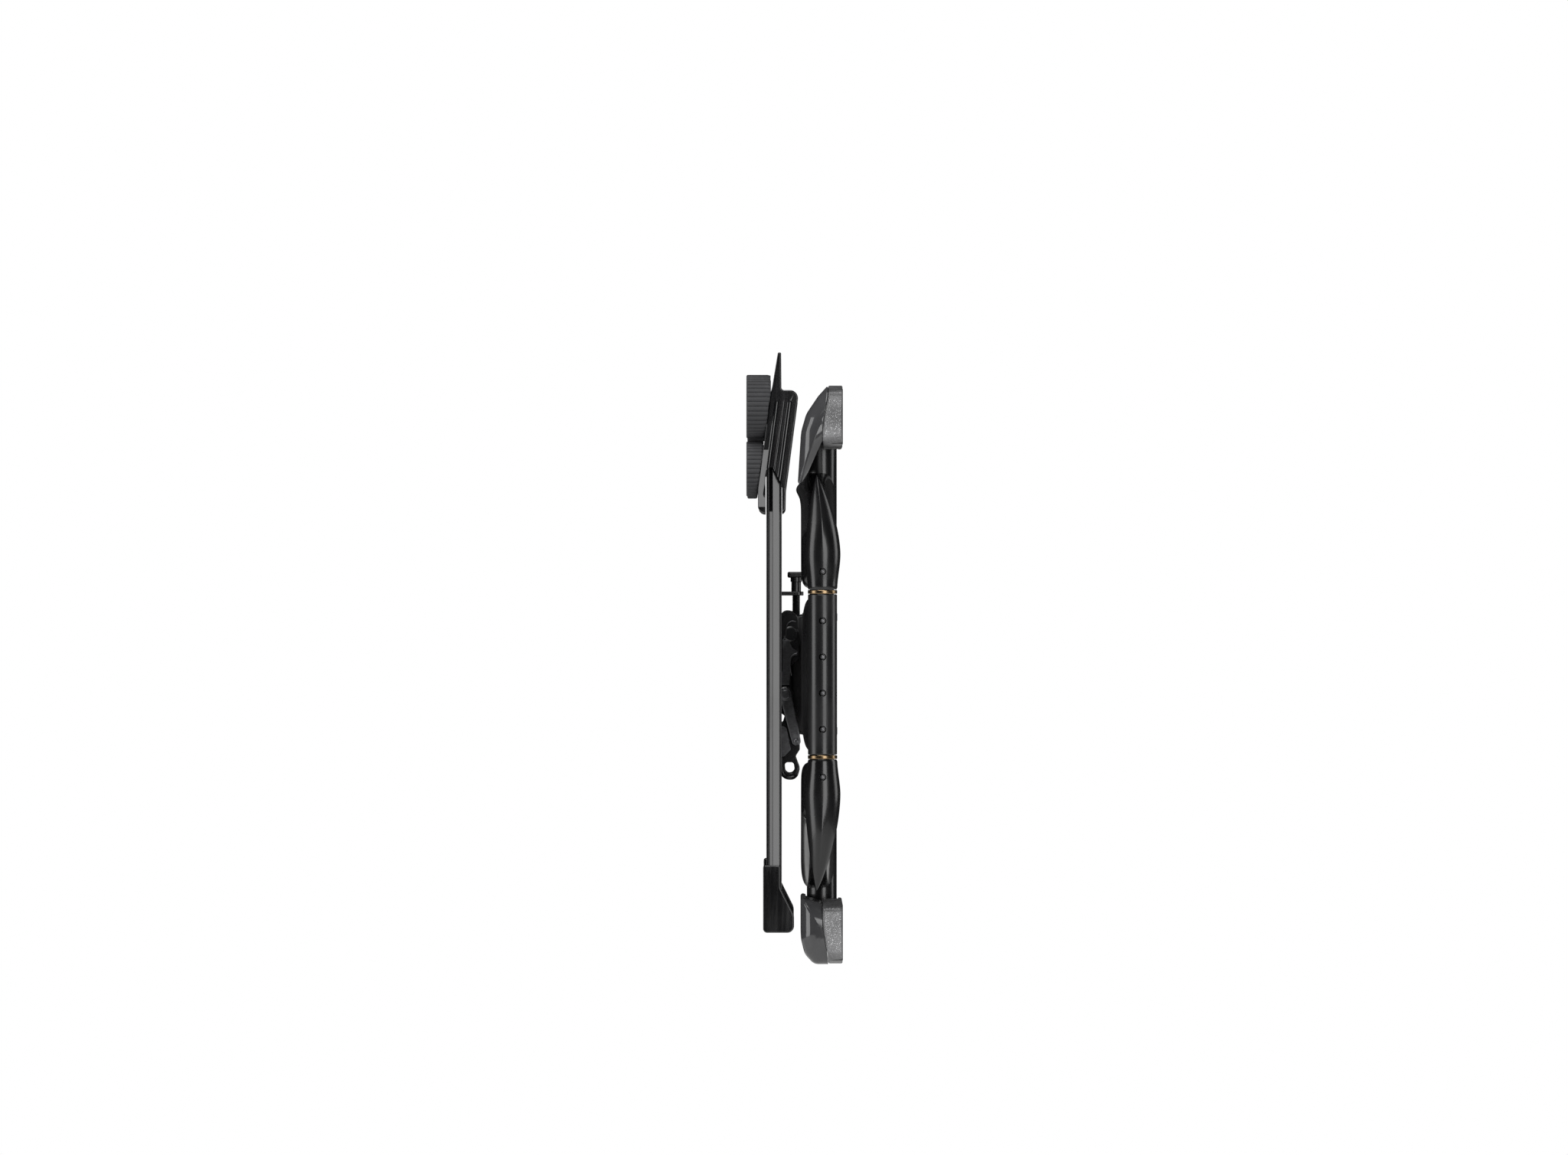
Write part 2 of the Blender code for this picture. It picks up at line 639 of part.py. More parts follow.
def tilt_cheek(side, name):
    """A side plate of the carrier: an arched top, a waist behind the pivot and a loop at its foot."""
    outline = rounded([(0.0462, 0.0475, 0.005), (0.0330, 0.0475, 0.006), (0.0325, 0.0120, 0.003),
                       (0.0385, 0.0060, 0.003), (0.0375, -0.0280, 0.006), (0.0318, -0.0440, 0.003),
                       (0.0318, -0.0560, 0.003), (0.0350, -0.0610, 0.003),
                       (0.0317, -0.0700, 0.004), (0.0340, -0.0785, 0.005),
                       (0.0460, -0.0785, 0.006), (0.0487, -0.0640, 0.006), (0.0487, -0.0030, 0.001),
                       (0.0462, -0.0030, 0.001)])
    loop = rounded([(0.0365, -0.0655, 0.002), (0.0355, -0.0735, 0.003), (0.0425, -0.0735, 0.003),
                    (0.0430, -0.0655, 0.002)])
    plate = extruded(name, [outline, loop], 0.0030, at(side * CHEEK_X, 0, 0), ALONG_X)
    bore = cylinder(name + "_bore", 0.0033, 0.010, at(side * CHEEK_X, TILT_DEPTH, TILT_Z), "X")
    rivet_hole = cylinder(name + "_rivet_hole", 0.0021, 0.010,
                          at(side * CHEEK_X, 0.0345, -0.0498), "X", 14)
    cut(plate, bore, rivet_hole)
    return finish(plate, name, "satin_black_paint", "tilt_axis")


def tilt_arm(side, name):
    """The brake arm on the outside of a cheek, from the pivot down to its rivet."""
    x = side * (CHEEK_X + 0.0015 + FIT_GAP + 0.00125)
    top = Vector((TILT_DEPTH, TILT_Z))
    foot = Vector((0.0345, -0.0498))
    along = (foot - top).normalized()
    heading = math.atan2(along.y, along.x)
    outline = []
    for centre, radius, turn in ((top, 0.0046, math.pi), (foot, 0.0032, 0.0)):
        for i in range(9):
            angle = heading + turn - math.pi / 2 + math.pi * i / 8
            outline.append(centre + radius * Vector((math.cos(angle), math.sin(angle))))
    bar = extruded(name, [outline], 0.0025, at(x, 0, 0), ALONG_X)
    bore = cylinder(name + "_bore", 0.0033, 0.010, at(x, TILT_DEPTH, TILT_Z), "X")
    rivet = cylinder(name + "_rivet", 0.0018, 0.0080, at(x - side * 0.0020, 0.0345, -0.0498), "X", 14)
    join(bar, rivet)
    cut(bar, bore)
    return finish(bar, name, "dark_steel", "tilt_axis")


def carrier_plate():
    """The flat plate in front of the cheeks, which the television plate is bolted to."""
    half_w, half_h = 0.0530, 0.0660
    outline = rounded([(-half_w, -half_h, 0.006), (half_w, -half_h, 0.006),
                       (half_w, half_h, 0.006), (-half_w, half_h, 0.006)])
    plate = extruded("carrier_plate", [outline], CARRIER_THICKNESS,
                     at(0, CARRIER_DEPTH + CARRIER_THICKNESS / 2, 0), ALONG_Y)
    bore = cylinder("carrier_bore", 0.0043, 0.020, at(0, CARRIER_DEPTH, 0), "Y")
    cut(plate, bore)
    return finish(plate, "carrier_plate", "satin_black_paint", "tilt_axis")


def level_bridge():
    """The thin shelf that the levelling screw turns in."""
    shelf = box("level_bridge", (0.0190, 0.0197, 0.0022), at(LEVEL_X, 0.03885, 0.0600))
    bore = cylinder("level_bridge_bore", 0.0034, 0.020, at(LEVEL_X, LEVEL_DEPTH, 0.0600))
    cut(shelf, bore)
    return finish(shelf, "level_bridge", "satin_black_paint", "tilt_axis")


def level_screw():
    """The levelling screw: a stem, a collar and a bar-shaped grip across its top."""
    stem = turned("level_screw", [(0, 0.0720), (0.0042, 0.0720), (0.0042, 0.0690), (0.0030, 0.0690),
                                  (0.0030, 0.0520), (0.0022, 0.0510), (0, 0.0510)],
                  at(LEVEL_X, LEVEL_DEPTH, 0), steps=12)
    grip = box("level_grip", (0.0060, 0.0130, 0.0045), at(LEVEL_X, LEVEL_DEPTH, 0.0740))
    bevel(grip, 0.0012, 1)
    join(stem, grip)
    return finish(stem, "level_screw", "satin_black_paint", "screw_axis")


# ---------------------------------------------------------------- television plate

def roll_plate():
    """The middle plate of the television frame, which rolls a little on the carrier."""
    half_w, half_h = 0.0600, 0.1060
    depth = CARRIER_DEPTH + CARRIER_THICKNESS + FIT_GAP
    thickness = 0.0024
    outline = rounded([(-half_w, -half_h, 0.010), (half_w, -half_h, 0.010),
                       (half_w, half_h, 0.010), (-half_w, half_h, 0.010)])
    plate = extruded("roll_plate", [outline], thickness, at(0, depth + thickness / 2, 0), ALONG_Y)
    bore = cylinder("roll_plate_bore", 0.0043, 0.020, at(0, depth, 0), "Y")
    cut(plate, bore)
    return finish(plate, "roll_plate", "gloss_black_paint", "roll_axis")


def roll_bolt():
    """The low-headed bolt that the television frame rolls on, with its nut behind the carrier."""
    profile = [(0, 0.0564), (0.0100, 0.0564), (0.0108, 0.0556), (0.0108, 0.0542), (0.0040, 0.0542),
               (0.0040, 0.0478), (0, 0.0478)]
    bolt = turned("roll_bolt", profile, at(0, 0, 0), steps=16)
    bolt.rotation_euler = (math.pi / 2, 0, 0)
    return finish(bolt, "roll_bolt", "dark_steel", "roll_axis")


def crossbar(side, name):
    """A flat bar that joins the two upright rails."""
    depth = CARRIER_DEPTH + CARRIER_THICKNESS - 0.0042
    length = 2 * (RAIL_X - RAIL_WIDTH / 2 - FIT_GAP)
    bar = box(name, (length, 0.0042, 0.0250), at(0, depth + 0.0021, side * CROSSBAR_Z))
    bevel(bar, 0.0008, 1)
    return finish(bar, name, "gloss_black_paint", "roll_axis")


def upright_rail(side, name):
    """A rolled channel rail, open to the wall, that the television brackets hang on."""
    half, wall = RAIL_WIDTH / 2, 0.0022
    narrow = half - 0.0010
    profile = [(-half, RAIL_BACK, 0), (-narrow, RAIL_FRONT, 0.0052), (narrow, RAIL_FRONT, 0.0052),
               (half, RAIL_BACK, 0), (half - wall, RAIL_BACK, 0),
               (narrow - wall, RAIL_FRONT - wall, 0.0030), (wall - narrow, RAIL_FRONT - wall, 0.0030),
               (wall - half, RAIL_BACK, 0)]
    length = RAIL_TOP - RAIL_BOTTOM
    rail = extruded(name, [rounded(profile)], length,
                    at(side * RAIL_X, 0, (RAIL_TOP + RAIL_BOTTOM) / 2), ALONG_Z)
    for place in ("upper", "lower"):
        cut(rail, screw_bore(name, side, place))
    return finish(rail, name, "gloss_black_paint", "roll_axis")


def screw_bore(name, side, place):
    """The clearance bore of a television screw."""
    return cylinder(f"{name}_{place}_bore", 0.0044, 0.040,
                    at(side * RAIL_X, 0.0600, SCREW_HEIGHTS[place]), "Y")


def horn_front(z):
    """How far out the leaning front face of the upper bracket lies at a height."""
    return HORN_FRONT + (HORN_TOP - z) * HORN_LEAN


def horn_back(z):
    return HORN_BACK + (HORN_TOP - z) * HORN_LEAN


def horn_bracket(side, name):
    """The upper bracket: a leaning pressed channel over the rail's head, with a tab at its top."""
    shoulder = 0.1370
    outline = rounded([
        (HORN_FRONT, HORN_TOP, 0.001), (0.0522, HORN_TOP + 0.0040, 0.004), (0.0481, 0.2377, 0.0009),
        (0.0457, 0.2377, 0.0009), (0.0455, HORN_TOP + 0.0010, 0.002),
        (HORN_BACK, HORN_TOP + 0.0010, 0.005), (horn_back(shoulder), shoulder, 0.010),
        (horn_back(shoulder) + 0.0004, HORN_BOTTOM, 0.003), (horn_front(shoulder), HORN_BOTTOM, 0.004),
        (horn_front(shoulder), shoulder, 0.004)])
    horn = extruded(name, [outline], 2 * BRACKET_HALF, at(side * RAIL_X, 0, 0), ALONG_X)
    roof, below, behind = HORN_TOP - 0.0010, HORN_BOTTOM - 0.010, HORN_BACK - 0.010
    pocket = [Vector(point) for point in (
        (horn_front(roof) - BRACKET_WALL, roof), (behind, roof), (behind, below),
        (horn_front(shoulder) - BRACKET_WALL, below), (horn_front(shoulder) - BRACKET_WALL, shoulder))]
    inside = extruded(name + "_pocket", [pocket], 2 * (BRACKET_HALF - BRACKET_WALL),
                      at(side * RAIL_X, 0, 0), ALONG_X)
    window = extruded(name + "_window", [rounded([
        (0.0575, 0.1100, 0), (0.0450, 0.1100, 0), (0.0450, 0.1400, 0.006), (0.0545, 0.1580, 0.003),
        (0.0575, 0.1480, 0.001)])], 0.060, at(side * RAIL_X, 0, 0), ALONG_X)
    cut(horn, inside, window, screw_bore(name, side, "top"), screw_bore(name, side, "upper"))
    return finish(horn, name, "gloss_black_paint", "roll_axis")


def foot_bracket(side, name):
    """The lower bracket: a pressed channel under the rail's end that swells out towards the wall."""
    outline = rounded([
        (FOOT_FRONT, -0.1400, 0.002), (0.0464, -0.1400, 0.001), (0.0464, -0.1565, 0.006),
        (0.0362, -0.1770, 0.006), (0.0362, -0.1896, 0.004), (FOOT_FRONT, -0.1896, 0.003)])
    foot = extruded(name, [outline], 2 * BRACKET_HALF, at(side * RAIL_X, 0, 0), ALONG_X)
    floor, inner = -0.1896 + BRACKET_WALL, FOOT_FRONT - BRACKET_WALL
    pocket = [Vector(point) for point in (
        (inner, -0.1300), (0.0300, -0.1300), (0.0300, floor), (inner, floor))]
    inside = extruded(name + "_pocket", [pocket], 2 * (BRACKET_HALF - BRACKET_WALL),
                      at(side * RAIL_X, 0, 0), ALONG_X)
    cut(foot, inside, screw_bore(name, side, "lower"))
    return finish(foot, name, "gloss_black_paint", "roll_axis")


def spacer(side, place, radius, ribs, name):
    """A ribbed plastic spacer whose wall end lies against the leaning face of the bracket."""
    z = SCREW_HEIGHTS[place]
    rib = 0.0008
    outline = []
    for i in range(2 * ribs):
        angle = math.pi * i / ribs
        reach = radius - rib * (i % 2)
        outline.append(Vector((reach * math.cos(angle), reach * math.sin(angle))))
    back = 0.0500
    length = SPACER_FRONT - back
    knob = extruded(name, [outline], length,
                    at(side * RAIL_X, back + length / 2, z), ALONG_Y)
    gap = FIT_GAP
    shoulder = 0.1370
    wedge = [Vector(point) for point in (
        (HORN_FRONT + gap, 0.2600), (HORN_FRONT + gap, HORN_TOP),
        (horn_front(shoulder) + gap, shoulder), (horn_front(shoulder) + gap, 0.1000),
        (0.0300, 0.1000), (0.0300, 0.2600))]
    lean = extruded(name + "_lean", [wedge], 0.080, at(side * RAIL_X, 0, 0), ALONG_X)
    cut(knob, lean, screw_bore(name, side, place))
    return finish(knob, name, "charcoal_plastic", "roll_axis")


def television_screw(side, place, name):
    """A pan-headed screw that holds a bracket: its head inside the channel, its tip at the front."""
    if place == "top":
        head_front, tip = 0.0508, SPACER_FRONT - 0.0005
    elif place == "upper":
        head_front, tip = RAIL_FRONT - 0.0022 - FIT_GAP, SPACER_FRONT - 0.0005
    else:
        head_front, tip = RAIL_FRONT - 0.0022 - FIT_GAP, FOOT_FRONT - 0.0005
    head = 0.0046
    profile = [(0, tip), (0.0032, tip), (0.0040, tip - 0.0008), (0.0040, head_front),
               (0.0070, head_front), (0.0070, head_front - head + 0.0010),
               (0.0056, head_front - head), (0, head_front - head)]
    screw = turned(name, profile, at(side * RAIL_X, 0, SCREW_HEIGHTS[place]), steps=12)
    screw.rotation_euler = (math.pi / 2, 0, 0)
    return finish(screw, name, "dark_steel", "roll_axis")


# ---------------------------------------------------------------- the whole mount

def build():
    """Make every sub-part, from the wall outwards."""
    joint("shoulder_axis", at(SHOULDER_X, ARM_DEPTH, 0))
    joint("elbow_axis", at(ELBOW_X, ARM_DEPTH, 0), "shoulder_axis")
    joint("pan_axis", at(PAN_X, ARM_DEPTH, 0), "elbow_axis")
    joint("tilt_axis", at(0, TILT_DEPTH, TILT_Z), "pan_axis")
    joint("screw_axis", at(LEVEL_X, LEVEL_DEPTH, 0.060), "tilt_axis")
    joint("roll_axis", at(0, CARRIER_DEPTH, 0), "tilt_axis")

    for side, end in ((1, "top"), (-1, "bottom")):
        wall_rail(side, f"wall_rail_{end}")
        cover_back(side, f"cover_collar_{end}")
        cover_front(side, f"cover_shell_{end}")
        hinge_bracket(side, f"hinge_bracket_{end}")
        hinge_pin(side, f"shoulder_pin_{end}")
        arm_limb(side, f"arm_limb_{end}")
        elbow_ring(side, f"elbow_ring_{end}")
        set_screw(f"knuckle_screw_{end}", KNUCKLE_SCREWS[side], "shoulder_axis", 0.0119)
        elbow_bush(side, f"elbow_bush_{end}")
        pan_washer(side, f"pan_washer_{end}")
        crossbar(side, f"crossbar_{end}")
    hinge_column()
    spine_tube()
    elbow_pin()

    forearm()
    for number, z in enumerate(BARREL_SCREWS):
        set_screw(f"barrel_screw_{number + 1}", z, "elbow_axis", BARREL_RADIUS - 0.0004)

    head_yoke()
    pan_pin()
    pivot_pin()

    carrier_plate()
    level_bridge()
    level_screw()
    roll_plate()
    roll_bolt()
    for side, hand in ((-1, "left"), (1, "right")):
        tilt_cheek(side, f"tilt_cheek_{hand}")
        tilt_arm(side, f"tilt_arm_{hand}")
        upright_rail(side, f"upright_rail_{hand}")
        horn_bracket(side, f"horn_bracket_{hand}")
        foot_bracket(side, f"foot_bracket_{hand}")
        spacer(side, "top", 0.0235, 40, f"top_spacer_{hand}")
        spacer(side, "upper", 0.0205, 36, f"upper_spacer_{hand}")
        for place in SCREW_HEIGHTS:
            television_screw(side, place, f"{place}_screw_{hand}")


build()
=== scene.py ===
"""Slim folding television wall mount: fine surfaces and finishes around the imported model.

X runs along the wall, +Y points into the wall and +Z is up. A depth is a distance out from the
wall, so a point at a depth d lies at Y = -d.
"""
import json
import math

import bmesh
import bpy
import numpy as np
from bpy.props import FloatProperty, FloatVectorProperty, IntProperty, PointerProperty
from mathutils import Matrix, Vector
from mathutils.geometry import tessellate_polygon


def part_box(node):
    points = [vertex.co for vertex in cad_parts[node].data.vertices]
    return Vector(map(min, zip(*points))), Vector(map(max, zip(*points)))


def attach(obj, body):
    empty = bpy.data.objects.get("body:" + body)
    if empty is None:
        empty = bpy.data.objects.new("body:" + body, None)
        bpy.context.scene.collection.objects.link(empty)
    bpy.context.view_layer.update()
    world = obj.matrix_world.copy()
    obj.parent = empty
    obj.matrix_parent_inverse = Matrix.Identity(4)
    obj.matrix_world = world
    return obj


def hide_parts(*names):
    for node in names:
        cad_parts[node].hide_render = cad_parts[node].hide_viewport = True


bl_info = {
    "name": "Folding Television Mount",
    "version": (1, 0, 0),
    "blender": (4, 5, 0),
    "location": "View3D > Sidebar > TV Mount",
    "description": "Builds the finished pieces of a slim folding television wall mount",
    "category": "Add Mesh",
}

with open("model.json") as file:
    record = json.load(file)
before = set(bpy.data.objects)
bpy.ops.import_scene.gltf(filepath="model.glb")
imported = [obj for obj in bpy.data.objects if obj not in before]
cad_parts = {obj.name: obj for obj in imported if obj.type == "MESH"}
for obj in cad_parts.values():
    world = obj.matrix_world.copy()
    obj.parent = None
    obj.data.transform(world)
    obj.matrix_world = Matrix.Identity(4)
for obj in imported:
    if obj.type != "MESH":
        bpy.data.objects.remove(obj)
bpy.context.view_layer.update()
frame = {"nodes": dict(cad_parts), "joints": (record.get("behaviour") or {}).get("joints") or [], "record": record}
JOINTS = {joint["name"]: joint for joint in frame["joints"]}
SHOULDER = Vector(JOINTS["arm_swing"]["pos_m"])
ELBOW = Vector(JOINTS["elbow_fold"]["pos_m"])
PAN = Vector(JOINTS["head_pan"]["pos_m"])
PIVOT = Vector(JOINTS["tilt"]["pos_m"])
LEVEL = Vector(JOINTS["level_turn"]["pos_m"])
BODY_OF = {node: body for body, nodes in frame["record"]["behaviour"]["bodies"].items()
           for node in nodes}
SLOT_OF = {part["node"]: part["material_slot"] for part in frame["record"]["subparts"]}
REPLACED = set()
ENDS = ((1, "top"), (-1, "bottom"))
HANDS = ((-1, "left"), (1, "right"))
ARC = 8

# Shared sizes, in metres
HINGE_BORE = 0.0044
ELBOW_BORE = 0.0054
PIVOT_BORE = 0.0033
RING_BORE = 0.0056
BUSH_SEAT = 0.0078
SEAT_RADIUS = 0.0027
MOUTH_X, MOUTH_HALF = -0.079, 0.046
COLLAR_WALL = 0.0024
RIVET = (0.0345, -0.0498)
SCREW_BORE = 0.0044
LIMB_END_Z, LIMB_END_HALF = 0.0857, 0.0220
FOREARM_ROOT_HALF, FOREARM_END_HALF = 0.0585, 0.0330
HORN_FRONT, HORN_TOP, HORN_FOOT, HORN_SHOULDER = 0.0532, 0.2090, 0.1195, 0.1370
HORN_LEAN = math.tan(math.radians(7.6))
SHEET = 0.0020


def lowest(node):
    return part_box(node)[0]


def highest(node):
    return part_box(node)[1]


def middle(node):
    low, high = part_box(node)
    return (low + high) / 2


# ---------------------------------------------------------------- outlines and surfaces

def rounded(corners, steps=ARC):
    """A closed outline: each corner (u, v, radius) becomes an arc that touches both its sides.

    The arc's middle lies on the corner's bisector, radius / sin(half angle) from the corner.
    """
    places = np.array([corner[:2] for corner in corners], float)
    outline = []
    for i, (*_, radius) in enumerate(corners):
        here = places[i]
        if radius <= 0:
            outline.append(here[None])
            continue
        to_last = places[i - 1] - here
        to_next = places[(i + 1) % len(corners)] - here
        to_last /= np.linalg.norm(to_last)
        to_next /= np.linalg.norm(to_next)
        half = math.acos(np.clip(to_last @ to_next, -1, 1)) / 2
        bisector = (to_last + to_next) / np.linalg.norm(to_last + to_next)
        centre = here + bisector * radius / math.sin(half)
        start = here + to_last * radius / math.tan(half) - centre
        end = here + to_next * radius / math.tan(half) - centre
        first = math.atan2(start[1], start[0])
        sweep = math.atan2(end[1], end[0]) - first
        sweep = (sweep + math.pi) % (2 * math.pi) - math.pi
        angle = first + sweep * np.linspace(0, 1, steps + 1)
        outline.append(centre + radius * np.stack([np.cos(angle), np.sin(angle)], 1))
    return np.concatenate(outline)


def whole_turn(count):
    """Angles spread evenly round a circle."""
    return np.linspace(0, 2 * math.pi, count, endpoint=False)


def circle(u, v, radius, count=48):
    """A round outline about (u, v)."""
    angle = whole_turn(count)
    return np.stack([u + radius * np.cos(angle), v + radius * np.sin(angle)], 1)


def block(u, v, half_u, half_v, radius, steps=ARC):
    """A rectangle about (u, v) with rounded corners."""
    return rounded([(u - half_u, v - half_v, radius), (u + half_u, v - half_v, radius),
                    (u + half_u, v + half_v, radius), (u - half_u, v + half_v, radius)], steps)


def long_hole(u, v, length, width):
    """An outline of two half circles, length along u, joined by straight sides."""
    angle = np.linspace(-math.pi / 2, math.pi / 2, 2 * ARC + 1)
    half = (length - width) / 2
    right = np.stack([half + width / 2 * np.cos(angle), width / 2 * np.sin(angle)], 1)
    return np.concatenate([right, -right]) + (u, v)


def signed_area(loop):
    after = np.roll(loop, -1, 0)
    return 0.5 * np.sum(loop[:, 0] * after[:, 1] - after[:, 0] * loop[:, 1])


def inset(loop, distance):
    """Move each point of an anticlockwise outline inwards, along the mitre of its two sides."""
    back = loop - np.roll(loop, 1, 0)
    ahead = np.roll(loop, -1, 0) - loop
    back /= np.linalg.norm(back, axis=1)[:, None] + 1e-12
    ahead /= np.linalg.norm(ahead, axis=1)[:, None] + 1e-12
    left_back = np.stack([-back[:, 1], back[:, 0]], 1)
    left_ahead = np.stack([-ahead[:, 1], ahead[:, 0]], 1)
    mitre = left_back + left_ahead
    return loop + distance * mitre / (1 + np.sum(left_back * left_ahead, 1))[:, None]


def place_along(axis, uv, w):
    """Points of an outline lifted by w: X takes (depth, z), Y takes (x, z), Z takes (x, depth)."""
    u, v = uv[..., 0], uv[..., 1]
    w = np.broadcast_to(w, u.shape)
    if axis == "X":
        return np.stack([w, -u, v], -1)
    if axis == "Y":
        return np.stack([u, -w, v], -1)
    return np.stack([u, -v, w], -1)


def grid_faces(rows, columns, close_rows=False, start=0):
    """Quads of a grid whose columns run round and meet. With close_rows the rows meet as well."""
    row = np.arange(rows if close_rows else rows - 1)[:, None]
    column = np.arange(columns)[None]
    after_row = (row + 1) % rows
    after_column = (column + 1) % columns
    quads = np.stack([row * columns + column, row * columns + after_column,
                      after_row * columns + after_column, after_row * columns + column], -1)
    return start + quads.reshape(-1, 4)


def prism(axis, loops, low, high, edge=0.0006, steps=3):
    """A solid with one outline all through, and holes, whose rims are rounded by a quarter circle.

    A row at angle a of the rim is drawn in by edge * (1 - sin a) and lies edge * (1 - cos a) from
    the end, so the rows run from one flat end over its rim and down the side to the other.
    """
    loops = [np.asarray(loop, float) for loop in loops]
    loops = [loop if (signed_area(loop) > 0) == (i == 0) else loop[::-1]
             for i, loop in enumerate(loops)]
    angle = np.linspace(0, math.pi / 2, steps + 1)
    draw = edge * (1 - np.sin(angle))
    rise = edge * (1 - np.cos(angle))
    levels = np.concatenate([low + rise, (high - rise)[::-1]])
    insets = np.concatenate([draw, draw[::-1]])
    points, faces, first_ring, last_ring = [], [], [], []
    start = 0
    for loop in loops:
        rows = np.stack([place_along(axis, inset(loop, d), w) for d, w in zip(insets, levels)])
        points.append(rows.reshape(-1, 3))
        faces += grid_faces(len(levels), len(loop), start=start).tolist()
        first_ring += list(range(start, start + len(loop)))
        last_ring += list(range(start + (len(levels) - 1) * len(loop),
                                start + len(levels) * len(loop)))
        start += rows.shape[0] * rows.shape[1]
    flat = [[Vector((*p, 0.0)) for p in inset(loop, draw[0])] for loop in loops]
    for triangle in tessellate_polygon(flat):
        faces.append([first_ring[i] for i in triangle])
        faces.append([last_ring[i] for i in reversed(triangle)])
    return np.concatenate(points), faces


def revolve(axis, profile, centre, sides=64):
    """Turn a profile of (radius, height) points about an axis: x, y = radius * (cos a, sin a)."""
    profile = np.asarray(profile, float)
    angle = whole_turn(sides)
    radius, height = profile[:, :1], profile[:, 1:]
    across = radius * np.cos(angle)
    up = radius * np.sin(angle)
    along = np.broadcast_to(height, across.shape)
    order = {"X": (along, across, up), "Y": (across, -along, up), "Z": (across, up, along)}[axis]
    points = np.stack(order, -1) + np.array(centre)
    meets = bool(profile[0, 0] > 0 and profile[-1, 0] > 0)
    return points.reshape(-1, 3), grid_faces(len(profile), sides, close_rows=meets).tolist()


def soft_corners(points, radius, steps=4):
    """A profile whose inner corners are rounded; its first and last points stay where they are."""
    corners = [(u, v, 0 if i in (0, len(points) - 1) else radius)
               for i, (u, v) in enumerate(points)]
    return rounded(corners, steps)


def loft(sections):
    """Skin a row of closed sections and close both ends flat, round each end's middle."""
    sections = np.asarray(sections, float)
    rows, columns = sections.shape[:2]
    faces = grid_faces(rows, columns).tolist()
    points = np.concatenate([sections.reshape(-1, 3), sections[0].mean(0)[None],
                             sections[-1].mean(0)[None]])
    last = (rows - 1) * columns
    for i in range(columns):
        after = (i + 1) % columns
        faces.append([rows * columns, after, i])
        faces.append([rows * columns + 1, last + i, last + after])
    return points, faces


def loft_along_x(x, y, z):
    """Skin sections that each lie at one x."""
    return loft(np.stack([np.broadcast_to(x[:, None], y.shape), y, z], -1))


def superellipse(angle, width, height, power):
    """Across = width * |cos a|^(2/power), up = height * |sin a|^(2/power), each with its sign."""
    c, s = np.cos(angle), np.sin(angle)
    across = np.sign(c) * np.abs(c) ** (2 / power) * width
    up = np.sign(s) * np.abs(s) ** (2 / power) * height
    return across, up


def ease(t):
    """A smooth step: 3 t^2 - 2 t^3, held at its ends."""
    t = np.clip(t, 0, 1)
    return t * t * (3 - 2 * t)


# ---------------------------------------------------------------- objects

def solid(name, *shapes):
    """One mesh object from closed shapes, welded, with its faces turned outwards."""
    points, faces, start = [], [], 0
    for shape_points, shape_faces in shapes:
        points.append(np.asarray(shape_points, float))
        faces += [[start + i for i in face] for face in shape_faces]
        start += len(shape_points)
    mesh = bpy.data.meshes.new(name)
    mesh.from_pydata(np.concatenate(points).tolist(), [], faces)
    form = bmesh.new()
    form.from_mesh(mesh)
    bmesh.ops.remove_doubles(form, verts=form.verts, dist=1e-7)
    bmesh.ops.dissolve_degenerate(form, edges=form.edges, dist=1e-8)
    bmesh.ops.recalc_face_normals(form, faces=form.faces)
    form.to_mesh(mesh)
    form.free()
    obj = bpy.data.objects.new(name, mesh)
    bpy.context.scene.collection.objects.link(obj)
    return obj


def combine(obj, operation, *tools):
    """Join tools to a solid or cut them out of it, and keep only the resulting mesh."""
    for tool in tools:
        modifier = obj.modifiers.new(tool.name, "BOOLEAN")
        modifier.operation = operation
        modifier.solver = "EXACT"
        modifier.object = tool
    bpy.context.view_layer.update()
    graph = bpy.context.evaluated_depsgraph_get()
    mesh = bpy.data.meshes.new_from_object(obj.evaluated_get(graph))
    obj.modifiers.clear()
    obj.data = mesh
    for tool in tools:
        bpy.data.objects.remove(tool, do_unlink=True)
    if not mesh.polygons:
        raise RuntimeError(f"{obj.name} is empty after a Boolean")
    return obj


def extruded(name, axis, loops, ends, edge=0.0006, steps=3):
    """A solid prism between two ends, given in any order."""
    return solid(name, prism(axis, loops, *sorted(ends), edge, steps))


def bored(axis, u, v, radius, ends, edge=0.0006, steps=3, sides=48):
    """The round bar that a bore takes away."""
    return extruded("bore", axis, [circle(u, v, radius, sides)], ends, edge, steps)


def turned(name, axis, points, centre, radius=0.0, steps=4, sides=64, side=1):
    """A solid of revolution from a profile whose corners are rounded. Side -1 mirrors it."""
    profile = soft_corners(points, radius, steps) * (1, side)
    return solid(name, revolve(axis, profile, centre, sides))


def finish_piece(obj, node, stands_for=True, slot=None, sharp=32):
    """Shade a piece and give it its finish. It rides on its CAD node's body and may stand for it."""
    slot = slot or SLOT_OF[node]
    obj.data.materials.clear()
    obj.data.materials.append(FINISHES[slot])
    obj.data.polygons.foreach_set("material_index", np.zeros(len(obj.data.polygons), np.int32))
    obj.data.shade_smooth()
    obj.data.set_sharp_from_angle(angle=math.radians(sharp))
    shine = obj.modifiers.new("even_shine", "WEIGHTED_NORMAL")
    shine.keep_sharp = True
    shine.weight = 100
    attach(obj, BODY_OF[node])
    if stands_for:
        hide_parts(node)
        REPLACED.add(node)


def dress(node):
    """Give a CAD node that keeps its own shape the finish of its slot."""
    obj = frame["nodes"][node]
    obj.data.materials.clear()
    obj.data.materials.append(FINISHES[SLOT_OF[node]])


# ---------------------------------------------------------------- shader maths

